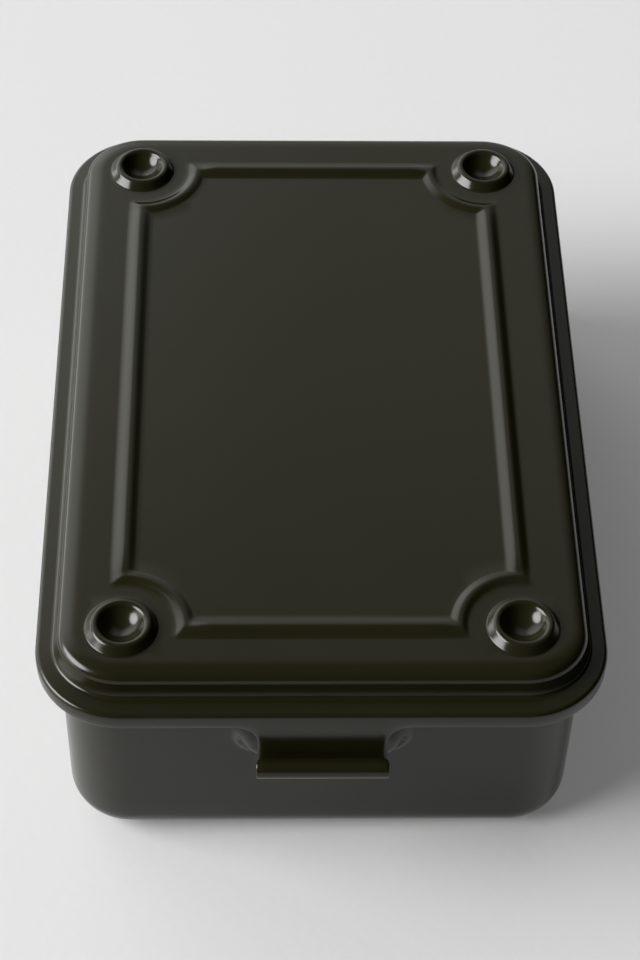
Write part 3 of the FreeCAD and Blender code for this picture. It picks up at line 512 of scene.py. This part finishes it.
def lid_net(lid, latch, hinge):
    """The lid's outer skin: top, border, skirt and ears, welded into one net."""
    core_x, core_y = lid_core(lid)
    stud = Stud(lid)
    panel = (stud.foot + min(fall_start(lid, ledge) for ledge in (lid.ledge_width, lid.ledge_depth))) / 2
    inner = lid.scallop + lid.scallop_reach
    blend_end = RING_BLEND * lid.corner

    def ring_weight(s, t, ring):
        """Rings stay round up to the bead's far foot on the inner side, and to the stud's foot beside it."""
        inner_side = (s < 0) & (t < 0)
        start = np.where(inner_side, inner, stud.foot)
        end = np.where(inner_side, blend_end, panel)
        return 1 - ease((ring - start) / (end - start))

    rings = stud.rings(8, 10, 4)
    outward = np.concatenate([rings, np.linspace(stud.foot, panel, 3)[1:]])
    bead_rings = np.linspace(lid.scallop - lid.scallop_reach, inner, 13)
    middle_rings = np.linspace(stud.foot, lid.scallop - lid.scallop_reach, 4)[1:-1]
    outer_rings = np.linspace(inner, blend_end, 5)[1:]
    offsets = np.concatenate([-outer_rings, -bead_rings, -middle_rings, -rings, outward])
    ear_middle, ear_half = hinge.spacing / 2, hinge.ear_width / 2 - lid.sheet / 2
    ear_columns = np.linspace(ear_middle - ear_half, ear_middle + ear_half, 7)
    across = mirrored(np.concatenate([core_x + offsets, tongue_columns(lid, latch), ear_columns]))
    along = mirrored(np.concatenate([core_y + offsets, np.linspace(0.0, core_y - blend_end, 6)]))
    x, y = round_corners(across, along, core_x, core_y, ring_weight)
    top = np.stack([x, y, top_level(x, y, lid, stud)], axis=-1)

    rim = sweep(border(top), core_x, core_y, border_profile(lid, panel, lid.ledge_width),
                border_profile(lid, panel, lid.ledge_depth))
    last = rim[-1]
    end = last.copy()
    end[:, 2] = skirt_end(last[:, 0], last[:, 1], lid, latch)
    skirt = last + np.linspace(0.0, 1.0, 3)[:, None, None] * (end - last)
    skirt[-1] = end

    ears = []
    skirt_x = end[:, 0]
    for _, side in SIDES:
        on_ear = np.abs(skirt_x - side * ear_middle) <= ear_half + WELD
        columns = np.unique(skirt_x[on_ear & (end[:, 1] > 0)])
        path = run(
            (lid.depth / 2, lid.ledge_level - lid.skirt_drop + lid.sheet / 2),
            arc((hinge.axis_y, hinge.axis_z), hinge.knuckle, 0, EAR_END, 28),
        )
        ears.append(across_path(columns, path, False))
    return weld(top, rim, skirt, *ears)


def fall_start(lid, ledge):
    """Distance from the core rectangle where the top starts to fall towards a ledge of the given width."""
    return lid.corner - ledge - lid.top_roll - (lid.crown - lid.top_roll) * math.sin(lid.crown_turn)


def border_profile(lid, panel, ledge):
    """Distance and height from the panel over crown, roll, hollow wall, foot and ledge to the skirt, as arcs.

    The wall's arc is upright under the roll and leans by the draft at the foot, so its radius is the foot's
    plus the wall's height over the sine of the draft."""
    top = lid.ledge_level + lid.ledge_drop
    hollow, roll = lid.foot_hollow, lid.skirt_roll
    crown_middle = np.array([fall_start(lid, ledge), top - lid.crown])
    lean = np.array([math.sin(lid.crown_turn), math.cos(lid.crown_turn)])
    roll_start = 90 - math.degrees(lid.crown_turn)
    roll_middle = crown_middle + (lid.crown - lid.top_roll) * lean
    wall_height = roll_middle[1] - lid.ledge_level - hollow
    wall_bend = hollow + wall_height / math.sin(lid.draft)
    wall_middle = np.array([lid.corner - ledge + wall_bend, roll_middle[1]])
    foot_middle = wall_middle - (wall_bend - hollow) * np.array([math.cos(lid.draft), math.sin(lid.draft)])
    foot_start = 180 + math.degrees(lid.draft)
    return run(
        (panel, top),
        arc(crown_middle, lid.crown, 90, roll_start, 5),
        arc(roll_middle, lid.top_roll, roll_start, 0, 8),
        arc(wall_middle, wall_bend, 180, foot_start, 2),
        arc(foot_middle, hollow, foot_start, 270, 4),
        arc((lid.corner - roll, lid.ledge_level - roll), roll, 90, 0, 6),
    )


def across_path(columns, path, path_first):
    """A strip: each column's X beside each (Y, Z) of the path, which may be the grid's first direction."""
    x, index = np.meshgrid(columns, np.arange(len(path)), indexing="ij")
    strip = np.stack([x, path[index, 0], path[index, 1]], axis=-1)
    return strip.swapaxes(0, 1) if path_first else strip


def tongue_net(lid, latch):
    """The sprung end of the tongue: its path in Y and Z bends out on a wide arc and curls into the lip.

    The wide arc's radius is the inside of the lip plus the sum of drop squared and shift squared over twice
    the shift. Towards the lip the columns spread by the flare, and at its end they draw in on a quarter
    circle."""
    front = -lid.depth / 2
    inset = lid.sheet / 2
    drop, shift = latch.lip_drop, latch.lip_shift
    low = latch.sway_level - drop
    inside = latch.lip_radius - lid.sheet
    sway = inside + (drop ** 2 + shift ** 2) / (2 * shift)
    lean = math.degrees(2 * math.atan2(shift, drop))
    path = run(
        (front, latch.seam),
        arc((front - sway, latch.sway_level), sway, 0, -lean, 10),
        arc((front - shift - inside, low), inside, -lean, -math.degrees(latch.lip_turn), 40),
    )
    walked = np.concatenate([[0.0], np.cumsum(np.linalg.norm(np.diff(path, axis=0), axis=1))])
    columns = tongue_columns(lid, latch)
    half = latch.width / 2 - inset
    columns = mirrored(columns[columns <= half + WELD])
    strip = across_path(columns, path, True)
    left = walked[-1] - walked
    draw_in = latch.lip_corner - np.sqrt(np.maximum(
        latch.lip_corner ** 2 - np.maximum(latch.lip_corner - left, 0.0) ** 2, 0.0))
    flare_start, flare_end = FLARE_RUN
    widened = ease((walked / walked[-1] - flare_start) / (flare_end - flare_start))
    spread = latch.flare * widened - draw_in
    strip[..., 0] *= 1 + spread[:, None] / half
    return weld(strip)


class BOX_OT_tray(bpy.types.Operator):
    """Make the drawn tray with its rolled rim and catch boss"""

    bl_idname = "steel_box.tray"
    bl_label = "Tray"

    def execute(self, context):
        tray, lid = context.scene.box_tray, context.scene.box_lid
        core_x = lid.width / 2 - tray.overhang - tray.corner
        core_y = lid.depth / 2 - tray.overhang - tray.corner
        base = tray.corner - tray.base_bend
        corner = base * np.tan(np.linspace(0.0, math.pi / 4, 9))
        boss_half = tray.boss_width / 2 + tray.boss_slope
        across = mirrored(np.concatenate([np.linspace(0.0, boss_half, 29), np.linspace(boss_half, core_x, 6),
                                          core_x + corner]))
        along = mirrored(np.concatenate([np.linspace(0.0, core_y, 14), core_y + corner]))
        x, y = round_corners(across, along, core_x, core_y)
        floor = np.stack([x, y, np.zeros_like(x)], axis=-1)

        rim_level = tray.height - tray.rim_radius
        rim_middle = tray.corner - tray.sheet + tray.rim_radius
        rim_inside = tray.rim_radius - tray.sheet
        boss_low = tray.boss_level - tray.boss_height / 2 - tray.boss_slope
        profile = run(
            arc((base, tray.base_bend), tray.base_bend, -90, 0, 12),
            np.linspace((tray.corner, tray.base_bend), (tray.corner, boss_low), 6),
            np.linspace((tray.corner, boss_low), (tray.corner, rim_level), 28),
            arc((rim_middle, rim_level), rim_inside, 180, 0, 14),
            np.linspace((rim_middle + rim_inside, rim_level),
                        (rim_middle + rim_inside, rim_level - tray.rim_leg + tray.sheet / 2), 3),
        )
        wall = sweep(border(floor), core_x, core_y, profile, profile)
        on_front = (wall[..., 1] < 0) & (np.abs(wall[..., 1] + core_y + tray.corner) < WELD)
        wall[..., 1] -= np.where(on_front, boss_swell(wall[..., 0], wall[..., 2], tray), 0.0)
        net = thicken(*weld(floor.swapaxes(0, 1), wall.swapaxes(0, 1)), tray.sheet)
        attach(make_piece("tray_shell", *net, olive_enamel(), "olive_paint", "tray"), "tray_body")
        return {"FINISHED"}


def boss_swell(x, level, tray):
    """How far the front wall is pressed out: full depth on the crest, eased to nought over the slope.

    The distance to the crest is that to a rectangle with round corners: the distance past the inner
    rectangle, less the corner radius."""
    past_x = np.maximum(np.abs(x) - (tray.boss_width / 2 - tray.boss_corner), 0.0)
    past_z = np.maximum(np.abs(level - tray.boss_level) - (tray.boss_height / 2 - tray.boss_corner), 0.0)
    past = np.hypot(past_x, past_z) - tray.boss_corner
    return tray.boss_depth * ease(1 - past / tray.boss_slope)


class BOX_OT_lid(bpy.types.Operator):
    """Make the pressed lid with its bead frame, studs, tongue root and hinge ears"""

    bl_idname = "steel_box.lid"
    bl_label = "Lid"

    def execute(self, context):
        scene = context.scene
        lid, latch = scene.box_lid, scene.box_latch
        points, faces = lid_net(lid, latch, scene.box_hinge)
        on_tongue = np.abs(points[:, 0]) <= latch.width / 2
        seam = on_tongue & (points[:, 1] < 0) & (np.abs(points[:, 2] - latch.seam) < WELD)
        net = thicken(points, faces, lid.sheet, seam)
        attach(make_piece("lid_shell", *net, olive_enamel(), "olive_paint", "lid"), "lid_body")
        return {"FINISHED"}


class BOX_OT_latch(bpy.types.Operator):
    """Make the sprung end of the tongue, which bends from the lid to its finger lip"""

    bl_idname = "steel_box.latch"
    bl_label = "Latch tongue"

    def execute(self, context):
        lid, latch = context.scene.box_lid, context.scene.box_latch
        points, faces = tongue_net(lid, latch)
        seam = np.abs(points[:, 2] - latch.seam) < WELD
        net = thicken(points, faces, lid.sheet, seam)
        piece = make_piece("latch_tongue", *net, olive_enamel(), "olive_paint", "latch_tab")
        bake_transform(piece)
        return {"FINISHED"}


def plate_net(middle, tray_rear, hinge):
    """One hinge plate's outer skin: a flat with round lower corners, a stop lug and two knuckles.

    The lug's path turns out of the flat on a small hollow. A knuckle's path does so higher up, and then
    goes round the pin on a circle."""
    inset = hinge.sheet / 2
    face = tray_rear + hinge.sheet
    bend = hinge.sheet / 2
    lug_level = hinge.axis_z - hinge.stop_drop - hinge.sheet
    web_level = hinge.axis_z - hinge.knuckle
    split = lug_level - bend
    half = hinge.width / 2 - inset
    lug_half = hinge.ear_width / 2 - inset
    knuckle_start = hinge.ear_width / 2 + hinge.gap + inset
    lug_columns = np.linspace(0.0, lug_half, 5)
    knuckle_columns = np.linspace(knuckle_start, half, 9)
    columns = mirrored(np.concatenate([lug_columns, knuckle_columns]))

    low = hinge.axis_z - hinge.drop + inset
    corner = hinge.corner - inset
    rows = np.concatenate([low + corner * (1 - np.cos(np.linspace(0.0, math.pi / 2, 8))),
                           np.linspace(low + corner, split, 6)[1:]])
    flat = across_path(columns, np.stack([np.full_like(rows, face), rows], axis=-1), True)
    below = np.maximum(low + corner - rows, 0.0)
    narrowing = corner - np.sqrt(np.maximum(corner ** 2 - below ** 2, 0.0))
    flat[..., 0] *= (1 - narrowing / half)[:, None]

    lug_path = run((face, split), arc((face + bend, split), bend, 180, 90, 4),
                   (hinge.axis_y + hinge.stop_reach - inset, lug_level))
    knuckle_path = run((face, split), arc((face + bend, web_level - bend), bend, 180, 90, 4),
                       arc((hinge.axis_y, hinge.axis_z), hinge.knuckle, -90, KNUCKLE_END, 30))
    strips = [across_path(mirrored(lug_columns), lug_path, True),
              across_path(knuckle_columns, knuckle_path, True),
              across_path(-knuckle_columns[::-1], knuckle_path, True)]
    points, faces = weld(flat, *strips)
    return points + np.array([middle, 0.0, 0.0]), faces


class BOX_OT_hinge_plates(bpy.types.Operator):
    """Make the two hinge plates on the rear wall"""

    bl_idname = "steel_box.hinge_plates"
    bl_label = "Hinge plates"

    def execute(self, context):
        scene = context.scene
        hinge = scene.box_hinge
        tray_rear = scene.box_lid.depth / 2 - scene.box_tray.overhang
        for name, side in SIDES:
            net = thicken(*plate_net(side * hinge.spacing / 2, tray_rear, hinge), hinge.sheet)
            piece = make_piece(f"{name}_plate", *net, olive_enamel(), "olive_paint", f"{name}_hinge_plate")
            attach(piece, "tray_body")
        return {"FINISHED"}


def turned(profile, steps, axis):
    """A profile of (place along the axis, radius), turned about a line along X or Y through the origin."""
    around = np.linspace(0.0, 2 * math.pi, steps + 1)
    place = np.broadcast_to(profile[:, 0][:, None], (len(profile), steps + 1))
    wide = profile[:, 1][:, None] * np.cos(around)
    high = profile[:, 1][:, None] * np.sin(around)
    if axis == "X":
        return np.stack([place, wide, high], axis=-1).swapaxes(0, 1)
    return np.stack([wide, place, high], axis=-1)


class BOX_OT_hinge_pins(bpy.types.Operator):
    """Make the two headed hinge pins"""

    bl_idname = "steel_box.hinge_pins"
    bl_label = "Hinge pins"

    def execute(self, context):
        hinge = context.scene.box_hinge
        half = hinge.width / 2
        tip = half + hinge.pin_head_length
        rounding = hinge.pin_head_length / 2
        head = run((tip, 0.0), (tip, hinge.pin_head - rounding),
                   arc((tip - rounding, hinge.pin_head - rounding), rounding, 0, 90, 5),
                   (half, hinge.pin_head), (half, hinge.pin_radius))
        profile = run(head * np.array([-1.0, 1.0]), head[::-1])
        for name, side in SIDES:
            centre = np.array([side * hinge.spacing / 2, hinge.axis_y, hinge.axis_z])
            points, faces = weld(turned(profile, 40, "X") + centre)
            edge = ease((np.hypot(*(points - centre)[:, 1:].T) - hinge.pin_radius) / hinge.pin_head_length)
            piece = make_piece(f"{name}_pin", points, faces, edge, drawn_steel(), "hinge_steel",
                               f"{name}_hinge_pin")
            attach(piece, "tray_body")
        return {"FINISHED"}


class BOX_OT_plate_rivets(bpy.types.Operator):
    """Make the rivets that hold the hinge plates"""

    bl_idname = "steel_box.plate_rivets"
    bl_label = "Plate rivets"

    def execute(self, context):
        scene = context.scene
        hinge = scene.box_hinge
        rear = scene.box_lid.depth / 2 - scene.box_tray.overhang
        inside = rear - scene.box_tray.sheet
        outside = rear + hinge.sheet
        rise = hinge.rivet_rise
        dome = (hinge.rivet_head ** 2 + rise ** 2) / (2 * rise)
        lean = math.asin(hinge.rivet_head / dome)
        turn = np.linspace(lean, 0.0, 10)
        cap = np.stack([outside + rise - dome + dome * np.cos(turn), dome * np.sin(turn)], axis=-1)
        rounding = hinge.rivet_tail_rise / 2
        tail_end = inside - hinge.rivet_tail_rise
        tail = run((tail_end, 0.0),
                   arc((tail_end + rounding, hinge.rivet_tail - rounding), rounding, 180, 90, 5),
                   (inside, hinge.rivet_tail))
        profile = run(tail, (inside, hinge.pin_radius), (outside, hinge.pin_radius), cap)
        for name, side in SIDES:
            rivets = [turned(profile, 40, "Y")
                      + np.array([side * hinge.spacing / 2 + end * hinge.rivet_spacing / 2, 0.0,
                                  hinge.axis_z - hinge.rivet_drop]) for end in (-1, 1)]
            points, faces = weld(*rivets)
            edge = ease((points[:, 1] - outside) / rise)
            piece = make_piece(f"{name}_rivets", points, faces, edge, drawn_steel(), "hinge_steel",
                               f"{name}_plate_rivets")
            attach(piece, "tray_body")
        return {"FINISHED"}


def add_node(tree, kind, inputs=None, **settings):
    """Add a shader node with its settings; each input takes a value or another node's output."""
    node = tree.nodes.new(kind)
    for name, value in settings.items():
        setattr(node, name, value)
    for name, value in (inputs or {}).items():
        if isinstance(value, bpy.types.NodeSocket):
            tree.links.new(value, node.inputs[name])
        else:
            node.inputs[name].default_value = value
    return node


def mix_colour(tree, factor, first, second):
    """Mix two colours; the mix node's colour sockets are found by their kind."""
    node = add_node(tree, "ShaderNodeMix", {"Factor": factor}, data_type="RGBA")
    slots = [socket for socket in node.inputs if socket.type == "RGBA"]
    for socket, value in zip(slots, (first, second)):
        if isinstance(value, bpy.types.NodeSocket):
            tree.links.new(value, socket)
        else:
            socket.default_value = value
    return [socket for socket in node.outputs if socket.type == "RGBA"][0]


def new_group(name, inputs, outputs):
    """An empty shader node group with named sockets, and its two end nodes."""
    group = bpy.data.node_groups.new(name, "ShaderNodeTree")
    for socket_name, kind, default in inputs:
        socket = group.interface.new_socket(socket_name, in_out="INPUT", socket_type=kind)
        if default is not None:
            socket.default_value = default
    for socket_name, kind in outputs:
        group.interface.new_socket(socket_name, in_out="OUTPUT", socket_type=kind)
    return group, group.nodes.new("NodeGroupInput"), group.nodes.new("NodeGroupOutput")


def surface_grain():
    """Group: a fine relief of two noises, and a slow cloudy variation between nought and one."""
    group = bpy.data.node_groups.get("surface_grain")
    if group:
        return group
    group, given, result = new_group(
        "surface_grain",
        [("Vector", "NodeSocketVector", None), ("Fineness", "NodeSocketFloat", 900.0),
         ("Clouding", "NodeSocketFloat", 30.0)],
        [("Height", "NodeSocketFloat"), ("Variation", "NodeSocketFloat")])
    fine = add_node(group, "ShaderNodeTexNoise", {"Vector": given.outputs["Vector"],
                                                  "Scale": given.outputs["Fineness"], "Detail": 2.0})
    slow = add_node(group, "ShaderNodeTexNoise", {"Vector": given.outputs["Vector"],
                                                  "Scale": given.outputs["Clouding"], "Detail": 3.0})
    group.links.new(fine.outputs["Fac"], result.inputs["Height"])
    group.links.new(slow.outputs["Fac"], result.inputs["Variation"])
    return group


def edge_rub():
    """Group: a broken mask along the edges that hands and tables rub, from the mesh's edge attribute."""
    group = bpy.data.node_groups.get("edge_rub")
    if group:
        return group
    group, given, result = new_group(
        "edge_rub",
        [("Vector", "NodeSocketVector", None), ("Edge", "NodeSocketFloat", 0.0),
         ("Amount", "NodeSocketFloat", 0.5)],
        [("Mask", "NodeSocketFloat")])
    patches = add_node(group, "ShaderNodeTexNoise", {"Vector": given.outputs["Vector"], "Scale": 140.0,
                                                     "Detail": 4.0})
    broken = add_node(group, "ShaderNodeMapRange", {"Value": patches.outputs["Fac"], "From Min": 0.45,
                                                    "From Max": 0.75})
    on_edge = add_node(group, "ShaderNodeMath", {0: broken.outputs["Result"], 1: given.outputs["Edge"]},
                       operation="MULTIPLY")
    mask = add_node(group, "ShaderNodeMath", {0: on_edge.outputs["Value"], 1: given.outputs["Amount"]},
                    operation="MULTIPLY", use_clamp=True)
    group.links.new(mask.outputs["Value"], result.inputs["Mask"])
    return group


def surface(name, base, worn, roughness, spread, relief, fineness, rub, metallic):
    """A painted or plain metal: clouded colour, rubbed edges, uneven roughness and a fine relief."""
    material = bpy.data.materials.get(name)
    if material:
        return material
    material = bpy.data.materials.new(name)
    material.use_nodes = True
    tree = material.node_tree
    shader = tree.nodes["Principled BSDF"]
    place = add_node(tree, "ShaderNodeTexCoord").outputs["Object"]
    grain = add_node(tree, "ShaderNodeGroup", node_tree=surface_grain())
    tree.links.new(place, grain.inputs["Vector"])
    grain.inputs["Fineness"].default_value = fineness
    edge = add_node(tree, "ShaderNodeAttribute", attribute_name="edge")
    worn_edge = add_node(tree, "ShaderNodeGroup", node_tree=edge_rub())
    tree.links.new(place, worn_edge.inputs["Vector"])
    tree.links.new(edge.outputs["Fac"], worn_edge.inputs["Edge"])
    worn_edge.inputs["Amount"].default_value = rub

    pale = [min(1.0, channel * CLOUD_LIFT) for channel in base[:3]] + [1.0]
    clouded = mix_colour(tree, grain.outputs["Variation"], tuple(base), pale)
    painted = mix_colour(tree, worn_edge.outputs["Mask"], clouded, tuple(worn))
    uneven = add_node(tree, "ShaderNodeMapRange", {"Value": grain.outputs["Variation"], "From Min": 0.25,
                                                   "From Max": 0.75, "To Min": roughness - spread,
                                                   "To Max": roughness + spread})
    bump = add_node(tree, "ShaderNodeBump", {"Strength": relief, "Distance": 0.0001,
                                             "Height": grain.outputs["Height"]})
    tree.links.new(painted, shader.inputs["Base Color"])
    tree.links.new(uneven.outputs["Result"], shader.inputs["Roughness"])
    tree.links.new(bump.outputs["Normal"], shader.inputs["Normal"])
    shader.inputs["Metallic"].default_value = metallic
    return material


def olive_enamel():
    """Satin-gloss olive paint with a slight orange peel."""
    looks = bpy.context.scene.box_finishes
    paint = surface("olive_enamel", looks.olive, looks.olive_worn, looks.gloss, spread=0.03, relief=0.04,
                    fineness=700.0, rub=0.35, metallic=0.0)
    paint.node_tree.nodes["Principled BSDF"].inputs["Specular IOR Level"].default_value = looks.shine
    return paint


def drawn_steel():
    """Plain drawn steel, a little dull."""
    looks = bpy.context.scene.box_finishes
    return surface("drawn_steel", looks.steel, looks.steel_worn, looks.steel_roughness, spread=0.08,
                   relief=0.12, fineness=2500.0, rub=0.6, metallic=1.0)


def floor_paper(tint, lift):
    """Matt pale paper with a faint tooth, whiter to the camera and in reflections but lighting no more."""
    material = bpy.data.materials.new("floor_paper")
    material.use_nodes = True
    tree = material.node_tree
    shader = tree.nodes["Principled BSDF"]
    place = add_node(tree, "ShaderNodeTexCoord").outputs["Object"]
    tooth = add_node(tree, "ShaderNodeTexNoise", {"Vector": place, "Scale": 450.0, "Detail": 4.0})
    bump = add_node(tree, "ShaderNodeBump", {"Strength": 0.15, "Distance": 0.0003,
                                             "Height": tooth.outputs["Fac"]})
    tree.links.new(bump.outputs["Normal"], shader.inputs["Normal"])
    shader.inputs["Base Color"].default_value = tuple(tint)
    shader.inputs["Roughness"].default_value = 0.9
    shader.inputs["Specular IOR Level"].default_value = 0.0
    path = add_node(tree, "ShaderNodeLightPath")
    seen = path.outputs["Is Camera Ray"]
    for kind in ("Is Glossy Ray", "Is Transmission Ray"):
        seen = add_node(tree, "ShaderNodeMath", {0: seen, 1: path.outputs[kind]},
                        operation="MAXIMUM").outputs["Value"]
    glow = add_node(tree, "ShaderNodeMath", {0: seen, 1: lift}, operation="MULTIPLY")
    shader.inputs["Emission Color"].default_value = WHITE
    tree.links.new(glow.outputs["Value"], shader.inputs["Emission Strength"])
    return material


def lit_room(level, rear, side, strip, backdrop):
    """A dim room, darker on the right, with lit walls at the rear and left rear and a bright sill at left.

    The rear wall fades out overhead and to the right, the left one with the angle from its middle, and the
    sill above the horizon, in front and behind. The camera sees a plain backdrop past the floor's edge."""
    world = bpy.data.worlds.new("room")
    world.use_nodes = True
    tree = world.node_tree
    towards = add_node(tree, "ShaderNodeTexCoord").outputs["Generated"]
    ray = add_node(tree, "ShaderNodeSeparateXYZ", {"Vector": towards})

    def fade(value, dark, bright):
        """Nought at one value and one at the other, with soft ends."""
        low, high = sorted((dark, bright))
        return add_node(tree, "ShaderNodeMapRange",
                        {"Value": value, "From Min": low, "From Max": high,
                         "To Min": float(dark > bright), "To Max": float(dark < bright)},
                        interpolation_type="SMOOTHSTEP").outputs["Result"]

    def combine(operation, first, second):
        """Two values joined by a sum or a product."""
        return add_node(tree, "ShaderNodeMath", {0: first, 1: second}, operation=operation).outputs["Value"]

    open_side = fade(ray.outputs["X"], *OPEN_SIDE_X)
    rear_wall = combine("MULTIPLY", fade(ray.outputs["Y"], *REAR_WALL_Y),
                        fade(ray.outputs["Z"], *REAR_WALL_Z))
    both = combine("ADD", combine("MULTIPLY", rear_wall, rear), level)
    near_middle = add_node(tree, "ShaderNodeVectorMath", {0: towards, 1: SIDE_WALL}, operation="DOT_PRODUCT")
    side_wall = combine("MULTIPLY", fade(near_middle.outputs["Value"], *SIDE_WALL_NEARNESS), side)
    leftward = combine("MULTIPLY", fade(ray.outputs["X"], *SILL_X), fade(ray.outputs["Y"], *SILL_Y))
    sill = combine("MULTIPLY", combine("MULTIPLY", leftward, fade(ray.outputs["Z"], *SILL_Z)), strip)
    walls = combine("ADD", combine("MULTIPLY", both, open_side), side_wall)
    path = add_node(tree, "ShaderNodeLightPath")
    strength = add_node(tree, "ShaderNodeMix", {"Factor": path.outputs["Is Camera Ray"],
                                                "A": combine("ADD", walls, sill), "B": backdrop})
    background = tree.nodes["Background"]
    background.inputs["Color"].default_value = WHITE
    tree.links.new(strength.outputs["Result"], background.inputs["Strength"])
    return world


def add_lamp(name, place, target, width, height, power):
    """An oval soft lamp with a narrowed beam, which faces a target."""
    lamp = bpy.data.lights.new(name, "AREA")
    lamp.shape = "ELLIPSE"
    lamp.size, lamp.size_y = width, height
    lamp.energy = power
    lamp.spread = BEAM
    item = bpy.data.objects.new(name, lamp)
    item.location = place
    away = np.asarray(place) - np.asarray(target)
    heading = math.atan2(away[0], -away[1])
    item.rotation_euler = (math.acos(away[2] / np.linalg.norm(away)), 0.0, heading)
    bpy.context.scene.collection.objects.link(item)


class BOX_OT_stage(bpy.types.Operator):
    """Make the floor, the light and the camera"""

    bl_idname = "steel_box.stage"
    bl_label = "Stage"

    def execute(self, context):
        scene = context.scene
        studio = scene.box_studio
        span = np.linspace(-FLOOR_HALF, FLOOR_HALF, FLOOR_POINTS)
        x, y = np.meshgrid(span, span, indexing="ij")
        points, faces = weld(np.stack([x, y, np.zeros_like(x)], axis=-1))
        mesh = bpy.data.meshes.new("floor")
        mesh.from_pydata(points.tolist(), [], faces.tolist())
        mesh.materials.append(floor_paper(studio.floor, studio.floor_lift))
        floor = bpy.data.objects.new("floor", mesh)
        scene.collection.objects.link(floor)

        add_lamp("window", WINDOW_PLACE, WINDOW_TARGET, *WINDOW_SIZE, studio.key_power)
        scene.world = lit_room(studio.room, studio.rear, studio.side, studio.strip, studio.backdrop)

        camera = bpy.data.cameras.new("camera")
        camera.sensor_width = SENSOR
        camera.lens = studio.lens
        camera.clip_start = NEAREST
        viewer = bpy.data.objects.new("camera", camera)
        viewer.location = studio.camera_place
        viewer.rotation_euler = studio.camera_turn
        scene.collection.objects.link(viewer)
        scene.camera = viewer
        scene.view_settings.view_transform = "Standard"
        return {"FINISHED"}


OPERATORS = (BOX_OT_tray, BOX_OT_lid, BOX_OT_latch, BOX_OT_hinge_plates, BOX_OT_hinge_pins,
             BOX_OT_plate_rivets, BOX_OT_stage)
GROUPS = {"box_lid": LidSizes, "box_latch": LatchSizes, "box_tray": TraySizes, "box_hinge": HingeSizes,
          "box_finishes": Finishes, "box_studio": Studio}


class BOX_PT_panel(bpy.types.Panel):
    """Lists the box's pieces and sizes in the sidebar"""

    bl_idname = "BOX_PT_panel"
    bl_label = "Steel box"
    bl_space_type = "VIEW_3D"
    bl_region_type = "UI"
    bl_category = "Steel box"

    def draw(self, context):
        for operator in OPERATORS:
            self.layout.operator(operator.bl_idname)
        for group_name in GROUPS:
            group = getattr(context.scene, group_name)
            column = self.layout.column()
            for size_name in group.__annotations__:
                column.prop(group, size_name)


def register():
    """Make the sizes, pieces and panel known, and hang the sizes on the scene."""
    for item in (*GROUPS.values(), *OPERATORS, BOX_PT_panel):
        bpy.utils.register_class(item)
    for group_name, group in GROUPS.items():
        setattr(bpy.types.Scene, group_name, bpy.props.PointerProperty(type=group))


def unregister():
    """Take them all away again, in the opposite order."""
    for group_name in GROUPS:
        delattr(bpy.types.Scene, group_name)
    for item in (BOX_PT_panel, *OPERATORS, *GROUPS.values()):
        bpy.utils.unregister_class(item)


def main():
    """Make every piece and the stage."""
    register()
    for operator in OPERATORS:
        family, name = operator.bl_idname.split(".")
        getattr(getattr(bpy.ops, family), name)()


if __name__ == "__main__":
    main()
